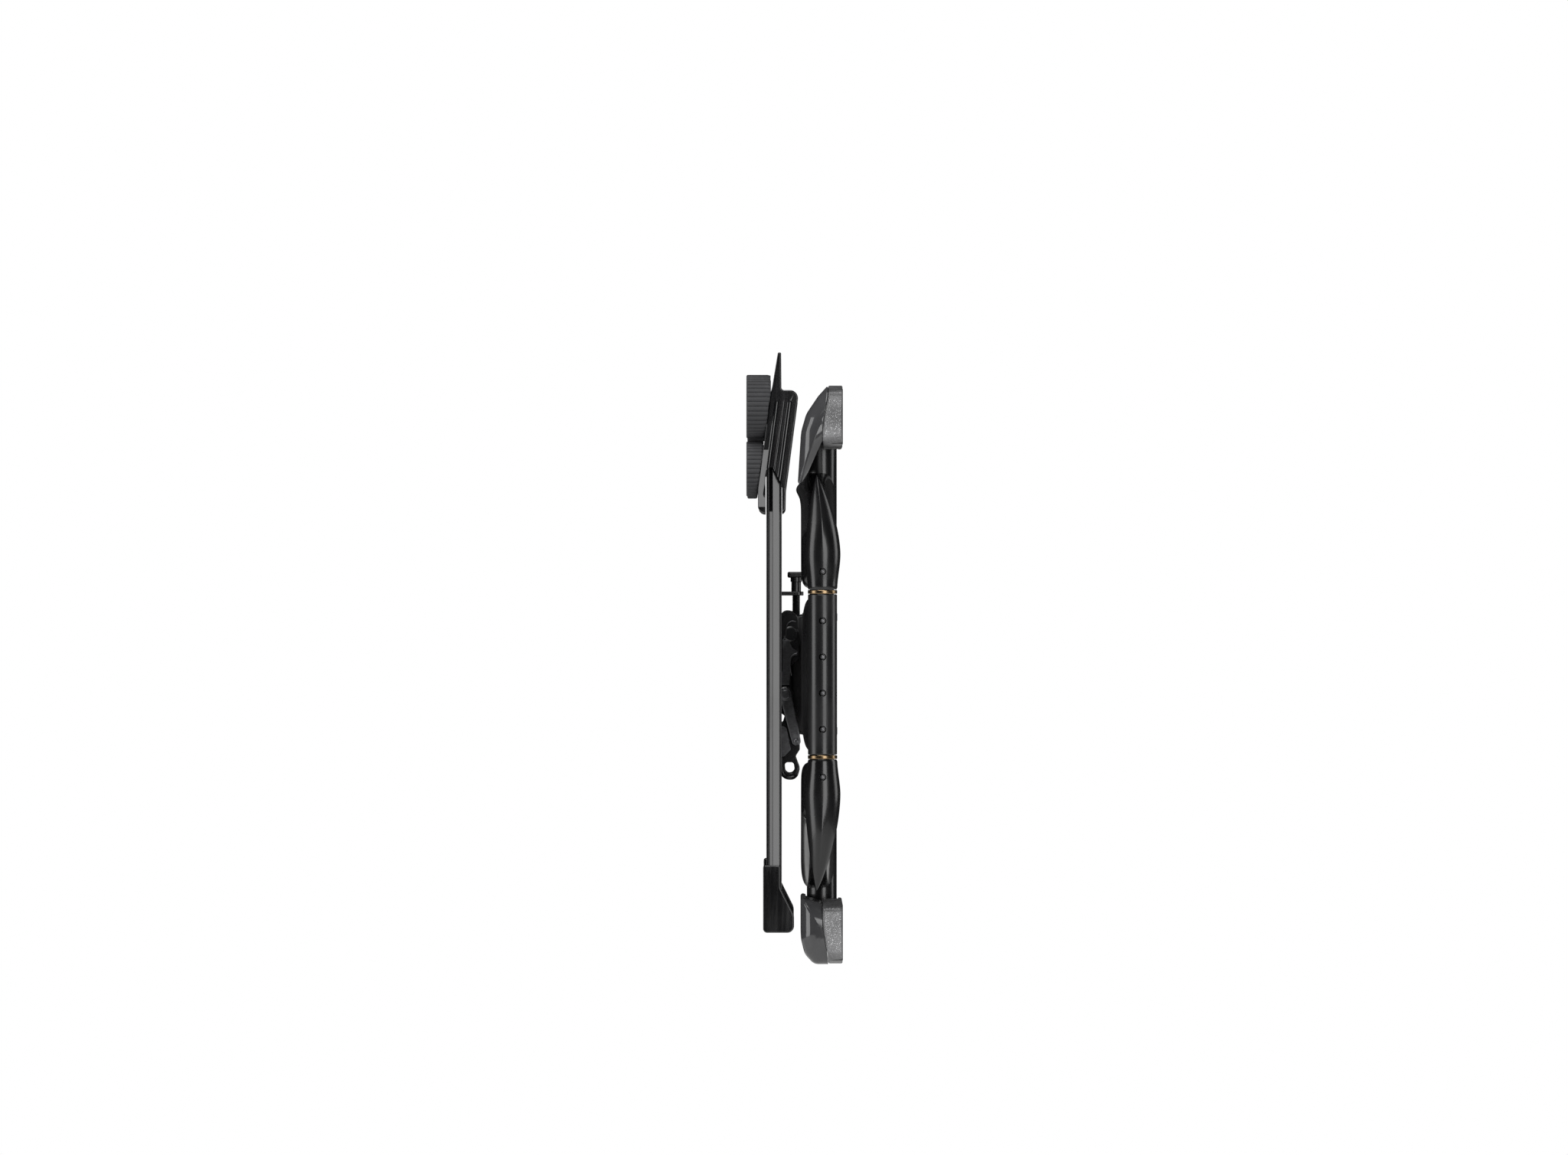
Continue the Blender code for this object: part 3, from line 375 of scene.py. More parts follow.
class Value:
    """A number or colour inside a material: arithmetic on it adds Math nodes."""

    def __init__(self, tree, socket):
        self.tree = tree
        self.socket = socket

    def _math(self, operation, *operands):
        node = self.tree.nodes.new("ShaderNodeMath")
        node.operation = operation
        for socket, operand in zip(node.inputs, operands):
            if isinstance(operand, Value):
                self.tree.links.new(operand.socket, socket)
            else:
                socket.default_value = operand
        return Value(self.tree, node.outputs[0])

    def __add__(self, other):
        return self._math("ADD", self, other)

    __radd__ = __add__

    def __mul__(self, other):
        return self._math("MULTIPLY", self, other)

    __rmul__ = __mul__

    def __sub__(self, other):
        return self._math("SUBTRACT", self, other)

    def __rsub__(self, other):
        return self._math("SUBTRACT", other, self)


class Finish:
    """A Principled material that is written as expressions on its own values."""

    def __init__(self, name):
        self.material = bpy.data.materials.new(name)
        self.material.use_nodes = True
        self.tree = self.material.node_tree
        self.shader = self.tree.nodes["Principled BSDF"]
        self.place = self.node("ShaderNodeTexCoord").outputs["Object"]

    def node(self, kind, settings=None, **sockets):
        """Add a node: its settings first, then the values or links of its sockets."""
        node = self.tree.nodes.new(kind)
        for key, value in (settings or {}).items():
            setattr(node, key, value)
        for key, value in sockets.items():
            socket = node.inputs[key.replace("_", " ")]
            if isinstance(value, Value):
                self.tree.links.new(value.socket, socket)
            elif isinstance(value, bpy.types.NodeSocket):
                self.tree.links.new(value, socket)
            else:
                socket.default_value = value
        return node

    def stretched(self, x, y, z):
        """The piece's own coordinates, scaled along each axis."""
        node = self.node("ShaderNodeMapping", Vector=self.place, Scale=(x, y, z))
        return node.outputs["Vector"]

    def noise(self, scale, detail=3.0, roughness=0.5, vector=None):
        node = self.node("ShaderNodeTexNoise", Vector=vector or self.place, Scale=scale,
                         Detail=detail, Roughness=roughness)
        return Value(self.tree, node.outputs["Fac"])

    def flakes(self, scale, vector=None):
        """A random grey for each small cell."""
        node = self.node("ShaderNodeTexVoronoi", Vector=vector or self.place, Scale=scale)
        split = self.node("ShaderNodeSeparateColor", Color=node.outputs["Color"])
        return Value(self.tree, split.outputs[0])

    def spread(self, value, low, high, to_low=0.0, to_high=1.0):
        """Map a value from one range to another, smoothly, held at both ends."""
        node = self.node("ShaderNodeMapRange", {"interpolation_type": "SMOOTHSTEP"}, Value=value)
        for key, number in zip(("From Min", "From Max", "To Min", "To Max"),
                               (low, high, to_low, to_high)):
            node.inputs[key].default_value = number
        return Value(self.tree, node.outputs["Result"])

    def mixed(self, factor, first, second):
        """A colour between two colours."""
        node = self.node("ShaderNodeMix", {"data_type": "RGBA"})
        self.tree.links.new(factor.socket, node.inputs[0])
        node.inputs[6].default_value = (*first, 1.0)
        node.inputs[7].default_value = (*second, 1.0)
        return Value(self.tree, node.outputs[2])

    def set(self, **sockets):
        """Set or link the shader's own sockets."""
        for key, value in sockets.items():
            socket = self.shader.inputs[key.replace("_", " ")]
            if isinstance(value, Value):
                self.tree.links.new(value.socket, socket)
            else:
                socket.default_value = value

    def bump(self, height, strength, distance):
        node = self.node("ShaderNodeBump", Height=height, Strength=strength, Distance=distance)
        self.tree.links.new(node.outputs["Normal"], self.shader.inputs["Normal"])


# ---------------------------------------------------------------- the mount's finishes

def paint(name, colours, roughness, coat, grain, grain_size, streak=None):
    """Powder coat or paint: a fine orange peel, soft patches of sheen and, if asked, brushed streaks."""
    finish = Finish(name)
    patches = finish.noise(18.0, 3.0, 0.55)
    peel = finish.noise(grain_size, 2.0, 0.6)
    dust = finish.spread(finish.noise(95.0, 5.0, 0.7), 0.60, 0.78)
    tone = finish.spread(patches, 0.3, 0.7) * 0.75 + dust * 0.25
    finish.set(Base_Color=finish.mixed(tone, *colours))
    sheen = finish.spread(patches, 0.35, 0.65, roughness[0], roughness[1]) + dust * 0.07
    height = peel
    if streak:
        lines = finish.noise(1.0, 4.0, 0.65, finish.stretched(*streak))
        sheen = sheen + finish.spread(lines, 0.35, 0.7, -0.03, 0.05)
        height = peel * 0.6 + lines * 0.5
    finish.set(Roughness=sheen, Coat_Weight=coat, Coat_Roughness=0.05)
    finish.bump(height, 0.35, grain)
    return finish.material


def polished_plastic(name, colours):
    """Moulded plastic with a polished skin: long soft waves, faint blotches and a few fine marks."""
    finish = Finish(name)
    waves = finish.noise(26.0, 2.0, 0.45)
    marks = finish.spread(finish.noise(1.0, 5.0, 0.7, finish.stretched(60, 900, 240)), 0.64, 0.74)
    finish.set(Base_Color=finish.mixed(finish.spread(waves, 0.3, 0.7), *colours))
    finish.set(Roughness=finish.spread(waves, 0.3, 0.7, 0.10, 0.19) + marks * 0.10)
    finish.set(Coat_Weight=0.35, Coat_Roughness=0.04)
    finish.bump(waves + marks * 0.05, 0.25, 0.0006)
    return finish.material


def sparkle_plastic(name, colours):
    """Satin plastic with fine metal flakes: each small cell has its own tone and tilt."""
    finish = Finish(name)
    flakes = finish.flakes(2600.0)
    clouds = finish.noise(34.0, 3.0, 0.5)
    glint = finish.spread(flakes, 0.80, 0.97)
    tone = finish.spread(clouds, 0.3, 0.7) * 0.45 + glint * 0.55
    finish.set(Base_Color=finish.mixed(tone, *colours))
    finish.set(Metallic=0.25 + glint * 0.6)
    finish.set(Roughness=finish.spread(clouds, 0.3, 0.7, 0.26, 0.36) - glint * 0.08)
    finish.bump(flakes, 0.30, 0.00012)
    return finish.material


def bare_metal(name, colours, roughness, streak, depth=0.00005):
    """Turned or brushed metal: fine lines along the tool's path and darker, duller stains."""
    finish = Finish(name)
    lines = finish.noise(1.0, 6.0, 0.7, finish.stretched(*streak))
    stains = finish.noise(160.0, 4.0, 0.6)
    tone = finish.spread(lines, 0.3, 0.7) * 0.6 + finish.spread(stains, 0.4, 0.7) * 0.4
    finish.set(Base_Color=finish.mixed(tone, *colours), Metallic=1.0)
    finish.set(Roughness=finish.spread(lines, 0.3, 0.7, roughness[0], roughness[1])
               + finish.spread(stains, 0.5, 0.75) * 0.08)
    finish.bump(lines, 0.30, depth)
    return finish.material


def natural_nylon(name, colours):
    """Off-white nylon, a little mottled, with the faint rings that turning leaves."""
    finish = Finish(name)
    mottle = finish.noise(220.0, 4.0, 0.6)
    rings = finish.noise(1.0, 3.0, 0.5, finish.stretched(40, 40, 2600))
    finish.set(Base_Color=finish.mixed(finish.spread(mottle, 0.3, 0.7), *colours))
    finish.set(Roughness=finish.spread(mottle, 0.3, 0.7, 0.38, 0.55))
    finish.bump(rings, 0.25, 0.00008)
    return finish.material


def matte_plastic(name, colours):
    """Matte moulded plastic with a spark-eroded grain and rubbed, slightly shinier patches."""
    finish = Finish(name)
    grain = finish.noise(2400.0, 3.0, 0.6)
    rubbed = finish.spread(finish.noise(60.0, 4.0, 0.6), 0.52, 0.72)
    tone = finish.spread(grain, 0.3, 0.7) * 0.5 + rubbed * 0.5
    finish.set(Base_Color=finish.mixed(tone, *colours))
    finish.set(Roughness=0.66 - rubbed * 0.16 + grain * 0.05)
    finish.bump(grain, 0.45, 0.00016)
    return finish.material


FINISHES = {}


def mix_finishes(colours):
    """Make every finish once. Each stands for the record's material slot of the same name."""
    def pair(colour, lift):
        return tuple(colour), tuple(min(c * lift, 1.0) for c in colour)

    black = pair(colours.enamel, 1.9)
    satin = pair(colours.satin_black, 1.8)
    FINISHES.update({
        "cast_gloss_black": paint("cast_enamel", black, (0.20, 0.28), 0.20, 0.00004, 420.0),
        "cast_satin_black": paint("cast_satin", satin, (0.26, 0.36), 0.10, 0.00010, 420.0),
        "steel_gloss_black": paint("steel_enamel", black, (0.12, 0.18), 0.30, 0.00003, 500.0,
                                   (240, 240, 14)),
        "steel_satin_black": paint("steel_satin", satin, (0.24, 0.33), 0.10, 0.00006, 420.0,
                                   (260, 260, 30)),
        "cover_gloss_plastic": polished_plastic("cover_skin", pair(colours.cover, 1.4)),
        "collar_satin_plastic": sparkle_plastic("collar_skin", pair(colours.collar, 6.0)),
        "dark_steel": bare_metal("black_oxide", pair(colours.dark_steel, 1.9), (0.28, 0.42),
                                 (300, 300, 2400)),
        "bronze": bare_metal("bronze", pair(colours.bronze, 1.35), (0.16, 0.28),
                             (60, 60, 5200), 0.00009),
        "white_nylon": natural_nylon("nylon", pair(colours.nylon, 0.86)),
        "charcoal_plastic": matte_plastic("charcoal", pair(colours.charcoal, 1.9)),
    })


# ---------------------------------------------------------------- wall side

def crowned(outline, core, low, high, crown, power=2.2, rings=18):
    """Sections along X of a form whose ends swell: at angle a of an end the outline is scaled about
    a core by sin(a)^(2/power) and stands crown * cos(a)^(2/power) proud of the end's rim."""
    angle = np.linspace(0, math.pi / 2, rings + 1)[1:]
    share = np.sin(angle) ** (2 / power)
    proud = crown * np.cos(angle) ** (2 / power)
    scale = np.concatenate([share, share[::-1]])
    along = np.concatenate([low + crown - proud, (high - crown + proud)[::-1]])
    rows = core + scale[:, None, None] * (outline - core)
    return place_along("X", rows, along[:, None])


def cover_outline(side, sizes):
    """The front shell from the side: from its rim up and round its long sloping front."""
    low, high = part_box("cover_shell_top" if side > 0 else "cover_shell_bottom")
    rim, front = -high.y, -lowest("cover_shell_bottom").y
    if side > 0:
        crest = high.z + 0.0020
        return rounded([(rim, crest - 0.0490, 0), (rim, crest + 0.0005, 0.0007),
                        (rim + 0.0062, crest - 0.0076, 0.010), (rim + 0.0137, crest - 0.0211, 0.024),
                        (front, crest - 0.0351, 0.024), (front, crest - 0.0615, sizes.lip)], 10)
    crest = low.z
    return rounded([(rim + 0.0017, crest + 0.0455, 0.0006), (front, high.z, sizes.lip),
                    (front, crest + 0.0195, 0.024), (front - 0.0027, crest + 0.0075, 0.012),
                    (front - 0.0087, crest, 0.006), (rim, crest, 0), (rim, crest + 0.0445, 0)], 10)


def hung_lip(points, sizes):
    """Draw the upper shell's lower lip down and out towards the elbow. With w an eased step along X
    times one out from the rim times one down the last stretch, z drops by drop * w and the depth
    grows by drop * w / 6."""
    high = highest("cover_shell_top")
    along = ease((points[..., 0] - 0.030) / 0.060)
    out = ease((-points[..., 1] + high.y) / 0.0165)
    down = ease((high.z - 0.0330 - points[..., 2]) / 0.0260)
    drop = sizes.lip_drop * along * out * down
    points[..., 2] -= drop
    points[..., 1] -= drop / 6
    return points


def leaned_seam(points, side, rim, front):
    """Lean the seam between shell and collar towards the wall at the cover's outer edge. With e the
    eased distance in from that edge, the seam moves by -0.0024 + 0.0044 * e, less so away from it."""
    edge = (highest("cover_shell_top") if side > 0 else lowest("cover_shell_bottom")).z
    shift = -0.0024 + 0.0044 * ease(np.abs(points[..., 2] - edge) / 0.0300)
    depth = -points[..., 1]
    share = np.where(depth > rim, (front - depth) / (front - rim), depth / rim)
    points[..., 1] -= shift * np.clip(share, 0, 1)
    return points


def opened(inner, rim, wall):
    """An inner outline cut off just in front of the rim and carried straight out through it."""
    keep = inner[:, 0] > rim + 1.1 * wall
    first = int(np.argmax(keep & ~np.roll(keep, 1)))
    run = np.roll(inner, -first, 0)[:keep.sum()]
    return np.concatenate([run, [(rim - 0.004, run[-1, 1]), (rim - 0.004, run[0, 1])]])


def mouth_solid(back, front, radius, low, high, edge=0.0006, steps=3):
    """The block that leaves a cover its mouth for the arm's root."""
    gate = block(MOUTH_X, (back + front) / 2, MOUTH_HALF, (front - back) / 2, radius)
    return extruded("mouth", "Z", [gate], (low, high), edge, steps)


def make_covers(sizes):
    """Each cover: a crowned shell, hollowed and open towards the wall, over a superellipse collar."""
    for side, end in ENDS:
        node = f"cover_shell_{end}"
        low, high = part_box(node)
        rim, front = -high.y, -lowest("cover_shell_bottom").y
        outline = cover_outline(side, sizes)
        core = np.array([rim, outline[:, 1].mean()])
        skin = crowned(outline, core, low.x, high.x, sizes.crown)
        inner = inset(outline if signed_area(outline) > 0 else outline[::-1], sizes.wall)
        inner = opened(inner, rim, sizes.wall)
        void = crowned(inner, core, low.x + sizes.wall, high.x - sizes.wall, sizes.crown)
        if side > 0:
            skin, void = hung_lip(skin, sizes), hung_lip(void, sizes)
        shell = solid(f"cover_front_{end}", loft(leaned_seam(skin, side, rim, front)))
        hollow = solid("hollow", loft(leaned_seam(void, side, rim, front)))
        mouth = mouth_solid(0.0125, 0.0275, 0.003, side * 0.1675 - 0.0175, side * 0.1675 + 0.0175)
        combine(shell, "DIFFERENCE", hollow, mouth)
        finish_piece(shell, node)

        node = f"cover_collar_{end}"
        low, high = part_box(node)
        centre = (low + high) / 2
        half_w, half_h = (high.x - low.x) / 2, (high.z - low.z) / 2
        angle = whole_turn(240)
        across, up = superellipse(angle, half_w, half_h, sizes.collar_squareness)
        rim_line = np.stack([centre.x + across, centre.z + up], 1)
        hole = np.stack([centre.x + across * (1 - COLLAR_WALL / half_w),
                         centre.z + up * (1 - COLLAR_WALL / half_h)], 1)
        points, faces = prism("Y", [rim_line, hole], -high.y, -low.y, 0.0011, 5)
        points[:, 0] *= 1 - sizes.collar_taper / half_w * (1 + points[:, 1] / rim)
        collar = solid(f"cover_rear_{end}", (leaned_seam(points, side, rim, front), faces))
        inner_z = low.z if side > 0 else high.z
        combine(collar, "DIFFERENCE", mouth_solid(0.003, 0.033, 0.001, inner_z - 0.004,
                                                  inner_z + 0.004, 0.0003, 2))
        finish_piece(collar, node)


# ---------------------------------------------------------------- arm

def knuckle(side, sizes):
    """The elbow knuckle, drawn out to a leaning flame. With u from the widest ring to the tip, the
    radius is widest * (1 - u^1.6)^0.85 and the middle leans out by lean * u^2. At angle a from the
    elbow's outer side the radius gains a crease of 16 % * e^(-|a| / 0.4), eased in along u."""
    low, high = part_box(f"arm_limb_{'top' if side > 0 else 'bottom'}")
    foot = low.z if side > 0 else high.z
    tip = side * (sizes.tip if side > 0 else sizes.tip + 0.0110)
    wide = foot + side * 0.026
    below = np.linspace(0, 1, 18)
    u = 1 - (1 - np.linspace(0, 1, 46)[1:]) ** 1.8
    z = np.concatenate([foot + (wide - foot) * below, wide + (tip - wide) * u])
    foot_radius = 0.0109
    edge = np.clip(below / 0.05, 0, 1)
    swell = foot_radius + (sizes.widest - foot_radius) * ease(below)
    radius = np.concatenate([swell - 0.0006 * (1 - edge) ** 2,
                             sizes.widest * (1 - u ** 1.6) ** 0.85])
    lean = np.concatenate([np.zeros(18), u ** 2]) * sizes.lean
    angle = whole_turn(96)
    turn = np.abs((angle + math.pi) % (2 * math.pi) - math.pi)
    grown = ease(np.concatenate([np.zeros(18), u / 0.45]))[:, None]
    crease = 1 + 0.16 * grown * np.exp(-turn / 0.4)
    radius = np.maximum(radius, 0.00004)[:, None] * crease
    x = ELBOW.x + radius * np.cos(angle)
    y = ELBOW.y - lean[:, None] + radius * np.sin(angle)
    return loft(np.stack([x, y, np.broadcast_to(z[:, None], x.shape)], -1))


def limb_body(side, sizes):
    """The limb between shoulder and elbow. Each section is a superellipse; along the limb its middle
    and half height ease from the shoulder's to the elbow's, and its last stretch closes as a nose."""
    root_z, root_half = (0.1262, 0.0245) if side > 0 else (0.1320, 0.0290)
    start = lowest(f"arm_limb_{'top' if side > 0 else 'bottom'}").x + 0.0052
    end = ELBOW.x + sizes.nose
    t = 1 - (1 - np.linspace(0, 1, 84)) ** 1.5
    x = start + (end - start) * t
    lift = 1 - ease((x - start) / (0.85 * (ELBOW.x - start)))
    middle_z = LIMB_END_Z + (root_z - LIMB_END_Z) * lift
    half_height = LIMB_END_HALF + (root_half - LIMB_END_HALF) * lift
    slim = 0.0012 * np.sin(math.pi * t)
    half_depth = sizes.half_depth - 0.0015 * lift - slim
    depth = 0.0170 + 0.0014 * lift + slim
    squareness = sizes.squareness + 0.8 * (1 - lift[:, None])
    closing = np.clip((x - (end - 0.018)) / 0.018, 0, 1)
    opening = np.clip((start + 0.010 - x) / 0.010, 0, 1)
    taper = np.sqrt(np.maximum(1 - closing ** 2, 0)) * np.sqrt(np.maximum(1 - 0.6 * opening ** 2, 0))
    taper = np.maximum(taper, 0.002)[:, None]
    angle = whole_turn(96)
    out, up = superellipse(angle, half_depth[:, None] * taper, half_height[:, None] * taper,
                           squareness)
    height = middle_z[:, None] + up
    swell = sizes.belly if side > 0 else 0.0
    belly = swell * np.exp(-((x[:, None] + 0.020) / 0.060) ** 2 - ((height - 0.138) / 0.006) ** 2)
    out = out + belly * np.clip(2 * np.cos(angle), 0, 1) * taper
    return loft_along_x(x, -(depth[:, None] + out), side * height)


def screw_seat(node, back, front):
    """The round seat that is cut for a set screw."""
    return turned("seat", "X", [(0, back), (SEAT_RADIUS, back), (SEAT_RADIUS, front), (0, front)],
                  middle(node), sides=32)


def make_limbs(sizes):
    for side, end in ENDS:
        node = f"arm_limb_{end}"
        limb = solid(f"limb_{end}", limb_body(side, sizes))
        flame = solid("flame", knuckle(side, sizes))
        root = turned("root", "Z", [(0, 0.104), (0.0112, 0.104), (0.0112, 0.174), (0, 0.174)],
                      (SHOULDER.x, SHOULDER.y, 0), 0.002, side=side)
        combine(limb, "UNION", flame, root)
        combine(limb, "DIFFERENCE",
                bored("Z", SHOULDER.x, -SHOULDER.y, HINGE_BORE, (side * 0.142, side * 0.180), sides=40),
                bored("Z", ELBOW.x, -ELBOW.y, ELBOW_BORE, (side * 0.050, side * 0.0950), 0.0003,
                      sides=40),
                screw_seat(f"knuckle_screw_{end}", -0.005, 0.008))
        finish_piece(limb, node, sharp=40)


def make_rings():
    for _, end in ENDS:
        node = f"elbow_ring_{end}"
        low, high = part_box(node)
        radius = (high.x - low.x) / 2
        profile = [(RING_BORE, low.z), (radius, low.z), (radius, high.z), (RING_BORE, high.z)]
        finish_piece(turned(f"thrust_ring_{end}", "Z", profile, (ELBOW.x, ELBOW.y, 0), 0.0006, 5, 96),
                     node)


def make_set_screw(node, seat_name):
    """A set screw sunk in the elbow's side, and the pale locking plug in its middle."""
    low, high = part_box(node)
    centre = (low + high) / 2
    radius, top = (high.z - low.z) / 2, high.x - 0.0009
    place = (0, centre.y, centre.z)
    profile = [(0, low.x), (radius, low.x), (radius, top), (0, top)]
    finish_piece(turned(f"{node}_body", "X", profile, place, 0.0004, sides=40), node,
                 slot="cast_gloss_black")
    angle = np.linspace(0, math.pi / 2, 8)
    dome = np.stack([0.0013 * np.cos(angle), top + 0.0004 + 0.0004 * np.sin(angle)], 1)
    dome = np.concatenate([[(0, top + 0.00005), (0.0013, top + 0.00005)], dome])
    finish_piece(turned(seat_name, "X", dome, place, sides=32), node, stands_for=False,
                 slot="dark_steel", sharp=50)


def make_forearm(sizes):
    """Each section is a superellipse. Towards the hub its half height eases down and its middle
    runs straight to z = 0; a belly swells its front side, and the sides draw in a little midway."""
    low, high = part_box("forearm")
    barrel_mid, barrel_half = (low.z + high.z) / 2, (high.z - low.z) / 2
    t = np.linspace(0, 1, 70)
    x = ELBOW.x - 0.002 + (PAN.x + 0.004 - ELBOW.x + 0.002) * t
    half_height = FOREARM_ROOT_HALF + (FOREARM_END_HALF - FOREARM_ROOT_HALF) * ease(t)
    half_depth = 0.0100 - 0.0012 * np.sin(math.pi * t)
    belly = sizes.forearm_belly * ease(t / 0.12) * (1 - ease((t - 0.45) / 0.27))
    angle = whole_turn(96)
    out, up = superellipse(angle, half_depth[:, None] + belly[:, None] / 2, half_height[:, None], 4.2)
    out = out + belly[:, None] / 2
    waist = 1 - 0.06 * np.sin(math.pi * t)[:, None] ** 2 * np.abs(np.sin(angle)) ** 4
    z = (barrel_mid * (1 - t))[:, None] + up * waist
    body = solid("forearm_casting", loft_along_x(x, PAN.y - out, z))
    radius, place = sizes.barrel_radius, (ELBOW.x, ELBOW.y, barrel_mid)
    barrel = turned("barrel", "Z", [(0, -barrel_half), (radius, -barrel_half), (radius, barrel_half),
                                    (0, barrel_half)], place, 0.0008, 5, 128)
    hub = turned("hub", "Z", [(0, -0.0375), (0.0104, -0.0375), (0.0104, 0.0375), (0, 0.0375)],
                 (PAN.x, PAN.y, 0), 0.001, sides=96)
    combine(body, "UNION", barrel, hub)
    seat = barrel_half - 0.0140
    past = barrel_half + 0.002
    stepped = [(0, past), (BUSH_SEAT, past), (BUSH_SEAT, seat), (RING_BORE, seat),
               (RING_BORE, -seat), (BUSH_SEAT, -seat), (BUSH_SEAT, -past), (0, -past)]
    combine(body, "DIFFERENCE", turned("bore", "Z", stepped, place),
            bored("Z", PAN.x, -PAN.y, HINGE_BORE, (-0.045, 0.045), 0.0003),
            *(screw_seat(f"barrel_screw_{number}", -0.004, 0.0055) for number in range(1, 5)))
    finish_piece(body, "forearm", slot="cast_satin_black", sharp=40)


# ---------------------------------------------------------------- head and carrier

def make_yoke():
    body = extruded("yoke", "X", [rounded([
        (0.0265, -0.0459, 0.004), (0.0395, -0.0430, 0.004), (0.0395, 0.0420, 0.007),
        (0.0265, 0.0459, 0.004)])], (-0.0450, 0.0450), 0.0030, 6)
    ear = rounded([(-0.0115, 0.0038, 0.0113), (0.0115, 0.0038, 0.0113), (0.0115, 0.0300, 0),
                   (-0.0115, 0.0300, 0)], 16)
    ears = [extruded("ear", "Z", [ear], (side * 0.0389, side * 0.0459), 0.0012, 4)
            for side in (1, -1)]
    low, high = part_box("head_yoke")
    barrel = turned("barrel", "X", [(0, low.x), (0.0060, low.x), (0.0060, high.x), (0, high.x)],
                    (0, PIVOT.y, PIVOT.z), 0.001)
    neck = extruded("neck", "X", [rounded([
        (0.0350, PIVOT.z - 0.0055, 0), (0.0430, PIVOT.z - 0.0055, 0.0005),
        (0.0430, PIVOT.z + 0.0055, 0.0005), (0.0350, PIVOT.z + 0.0055, 0)])], (-0.040, 0.040), 0.001)
    combine(body, "UNION", *ears, barrel, neck)
    pockets = [extruded("pocket", "Y", [block(x, z, 0.013, 0.0100, 0.003)], (0.0375, 0.050), 0.0005)
               for x in (-0.024, 0.024) for z in (-0.0335, 0.0060, 0.0290)]
    combine(body, "DIFFERENCE", bored("Z", PAN.x, -PAN.y, HINGE_BORE, (-0.055, 0.055), 0.0003),
            bored("X", -PIVOT.y, PIVOT.z, PIVOT_BORE, (-0.060, 0.060), 0.0003), *pockets)
    finish_piece(body, "head_yoke", sharp=35)


def make_pins():
    top, foot = highest("pan_pin").z, lowest("pan_pin").z
    pin = turned("pan_axle", "Z", [(0, foot), (0.0040, foot), (0.0040, 0.0462), (0.0070, 0.0462),
                                   (0.0070, top), (0, top)], (PAN.x, PAN.y, 0), 0.0006)
    combine(pin, "DIFFERENCE",
            bored("Z", PAN.x, -PAN.y, 0.0028, (top - 0.002, top + 0.002), 0.0002, 1, 6))
    finish_piece(pin, "pan_pin")
    low, high = lowest("pivot_pin").x, highest("pivot_pin").x
    reach = 0.0046
    shape = [(0, 0), (0.0028, 0), (0.0031, 0.0004), (0.0032, 0.0011), (reach, 0.0011),
             (reach, 0.0028), (0.0030, 0.0028)]
    profile = [(r, low + d) for r, d in shape] + [(r, high - d) for r, d in reversed(shape)]
    finish_piece(turned("pivot_axle", "X", profile, (0, PIVOT.y, PIVOT.z), 0.0002, 3, 72),
                 "pivot_pin")


def cheek_outline():
    """The cheek from the side: an arched head, a waist, the pivot's cap and a tail with a loop."""
    return rounded([(0.0462, 0.0475, 0.005), (0.0330, 0.0475, 0.0078), (0.0322, 0.0120, 0.004),
                    (0.0385, 0.0060, 0.004), (0.0375, -0.0280, 0.006), (0.0318, -0.0440, 0.003),
                    (0.0318, -0.0560, 0.003), (0.0350, -0.0610, 0.003), (0.0317, -0.0700, 0.004),
                    (0.0340, -0.0785, 0.006), (0.0460, -0.0785, 0.008), (0.0487, -0.0640, 0.006),
                    (0.0487, -0.0385, 0.0012), (0.0478, -0.0350, 0.0010), (0.0446, -0.0362, 0.0010),
                    (0.0430, -0.0310, 0.0010), (0.0478, -0.0275, 0.0012), (0.0487, -0.0240, 0.0012),
                    (0.0487, -0.0030, 0.001), (0.0462, -0.0030, 0.001)], 8)


def swept(points, radius, sides=12):
    """A round wire along a path in the plane that faces X, thinner at both ends. Each ring lies
    across the path: its points are the path's point + radius * (cos a * normal + sin a * X)."""
    points = np.asarray(points, float)
    along = np.gradient(points, axis=0)
    along /= np.linalg.norm(along, axis=1)[:, None]
    normal = np.cross(along, (1.0, 0.0, 0.0))
    angle = whole_turn(sides)[None, :, None]
    width = radius * np.sqrt(np.clip(np.sin(math.pi * np.linspace(0.02, 0.98, len(points))) * 6,
                                     0.05, 1))[:, None, None]
    rings = (points[:, None] + width * (np.cos(angle) * normal[:, None]
                                        + np.sin(angle) * np.array([1.0, 0.0, 0.0])))
    return loft(rings)


def smooth_path(points, count=60):
    """A Catmull-Rom curve: between p1 and p2 it is a cubic whose slopes are (p2 - p0) / 2 and
    (p3 - p1) / 2."""
    points = np.asarray(points, float)
    ends = np.concatenate([2 * points[:1] - points[1:2], points, 2 * points[-1:] - points[-2:-1]])
    place = np.linspace(0, len(points) - 1, count)
    i = np.minimum(place.astype(int), len(points) - 2)
    t = (place - i)[:, None]
    p0, p1, p2, p3 = ends[i], ends[i + 1], ends[i + 2], ends[i + 3]
    return 0.5 * (2 * p1 + (p2 - p0) * t + (2 * p0 - 5 * p1 + 4 * p2 - p3) * t ** 2
                  + (3 * p1 - p0 - 3 * p2 + p3) * t ** 3)


